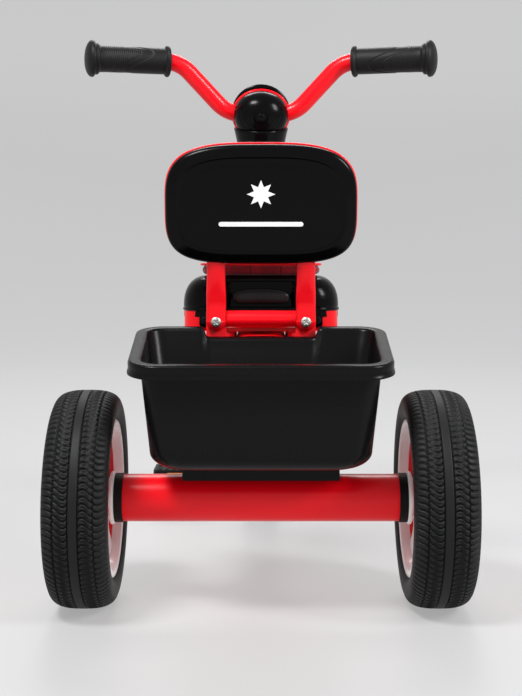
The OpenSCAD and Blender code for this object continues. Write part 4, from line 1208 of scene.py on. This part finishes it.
def makePedal(name, node, pin, side, body):
    a, b = low(node), high(node)
    inner = b.x if side < 0 else a.x
    outer = a.x if side < 0 else b.x
    length = abs(outer - inner)
    out, ahead, up = Vector((side, 0, 0)), Vector((0, 1, 0)), Vector((0, 0, 1))
    half, thick = pedalLook["half"], pedalLook["thick"]
    start = Vector((inner, pin.y, pin.z))
    parts = []
    for u, wide in ((2.5 * mm, 5 * mm), (length - 2.5 * mm, 5 * mm)):  # end plates
        loops = [[start + out * (u + du) + ahead * x + up * z for x, z in roundRect(half, thick, 5 * mm, 6)]
                 for du in (-wide / 2, wide / 2)]
        parts.append(skin(loops))
    for y in (-half + 3 * mm, -half * 0.52, half * 0.52, half - 3 * mm):  # treads along the pedal
        w = 3 * mm
        loops = [[start + out * u + ahead * (y + x) + up * z for x, z in roundRect(w, thick, 1.4 * mm, 4)]
                 for u in (3 * mm, length - 3 * mm)]
        parts.append(skin(loops))
        for k in range(pedalLook["teeth"]):
            u = 9 * mm + (length - 18 * mm) * k / (pedalLook["teeth"] - 1)
            for z in (-1, 1):
                parts.append(boxAlong(start + out * u + ahead * y + up * z * (thick + 0.3 * mm), out, ahead, up,
                                      4 * mm, 4.6 * mm, 1.2 * mm))
    barrel = [(6.2 * mm, 1 * mm), (9.6 * mm, 1 * mm), (9.6 * mm, length - 3 * mm), (6.2 * mm, length - 3 * mm),
              (6.2 * mm, 1 * mm)]
    parts.append(revolve(barrel, start, out, up, 48))
    verts, faces = joined(*parts)
    pedal = newPiece(name, verts, faces, darkBlack, body, "satin_black", (node,))
    bevelled(pedal, 0.5 * mm, 2, 50)
    for y in (-1, 1):
        loops = [[start + out * (length / 2 + x) + ahead * y * (half - 0.6 * mm + d) + up * z
                  for x, z in roundRect(20 * mm, 5.5 * mm, 2 * mm, 5)] for d in (0, 1.5 * mm)]
        plate = newPiece(name + ("Front" if y > 0 else "Rear") + "Reflector", *skin(loops), amber, body,
                         "satin_black", shadeSmooth=False)
        bevelled(plate, 0.4 * mm, 2, 40)
    return pedal


print("cranks and pedals")
pins = makeCranks()
makePedal("pedalLeft", "pedal_left", pins[-1], -1, "pedal_left")
makePedal("pedalRight", "pedal_right", pins[1], 1, "pedal_right")


studio = {"floor": colour(0.24, 0.24, 0.242), "glow": 0.36, "world": 0.42, "key": 58.0, "fill": 36.0, "rim": 28.0,
          "reach": 3.6, "bend": 1.2, "wall": 2.4}


def floorFinish():
    s = Shade("paleFloor", Emission_Color=colour(1.0, 1.0, 1.0), Emission_Strength=studio["glow"])
    cloud = s.noise(2.0)
    s.put("Base Color", s.mix(cloud, darker(studio["floor"], 0.985), darker(studio["floor"], 1.015)))
    s.put("Roughness", 0.42 + 0.08 * cloud)
    return s.mat


def softBox(name, place, aim, wide, tall, power):
    data = bpy.data.lights.new(name, "AREA")
    data.shape, data.size, data.size_y, data.energy = "RECTANGLE", wide, tall, power
    lamp = bpy.data.objects.new(name, data)
    lamp.location = place
    lamp.rotation_euler = (Vector(aim) - Vector(place)).to_track_quat("-Z", "Y").to_euler()
    bpy.context.scene.collection.objects.link(lamp)
    return lamp


def makeStudio():
    reach, bend, wall = studio["reach"], studio["bend"], studio["wall"]
    profile = [(0.2, 0.0), (reach - bend, 0.0)]
    profile += [(reach - bend * (1 - math.sin(math.radians(6 * k))), bend * (1 - math.cos(math.radians(6 * k))))
                for k in range(1, 16)]
    profile.append((reach, wall))
    verts, faces = revolve(profile, Vector((0, 0, 0)), Vector((0, 0, 1)), Vector((1, 0, 0)), 96)
    faces.append(tuple(k * len(profile) for k in reversed(range(96))))
    mesh = bpy.data.meshes.new("studioBowl")
    mesh.from_pydata([tuple(v) for v in verts], [], faces)
    for face in mesh.polygons:
        face.use_smooth = True
    mesh.materials.append(floorFinish())
    bowl = bpy.data.objects.new("studioBowl", mesh)
    bpy.context.scene.collection.objects.link(bowl)
    world = bpy.data.worlds.new("studio")
    bpy.context.scene.world = world
    world.use_nodes = True
    back = world.node_tree.nodes["Background"]
    back.inputs["Color"].default_value = colour(1.0, 1.0, 1.0)
    back.inputs["Strength"].default_value = studio["world"]
    target = (0, axleLeft.y + 0.2, 0.25)
    softBox("keyLight", (-0.9, -1.3, 2.3), target, 0.7, 0.45, studio["key"])
    softBox("fillLight", (1.6, -1.1, 1.5), target, 0.5, 0.8, studio["fill"])
    softBox("frontLight", (0.0, 1.9, 2.2), target, 1.6, 0.8, studio["rim"])
    bpy.context.scene.view_settings.view_transform = "Standard"


viewer = {"behind": 1.288, "height": 0.360, "focal": 1254.0, "drop": 94.0, "tall": 696}


def makeCamera():
    data = bpy.data.cameras.new("camera")
    data.sensor_width = 36.0
    data.lens = viewer["focal"] / viewer["tall"] * 36.0
    data.shift_y = -viewer["drop"] / viewer["tall"]
    data.clip_start, data.clip_end = 0.05, 50.0
    camera = bpy.data.objects.new("camera", data)
    camera.location = (0, axleLeft.y - viewer["behind"], viewer["height"])
    camera.rotation_euler = (math.radians(90), 0, 0)
    bpy.context.scene.collection.objects.link(camera)
    bpy.context.scene.camera = camera


print("studio")
makeStudio()
makeCamera()
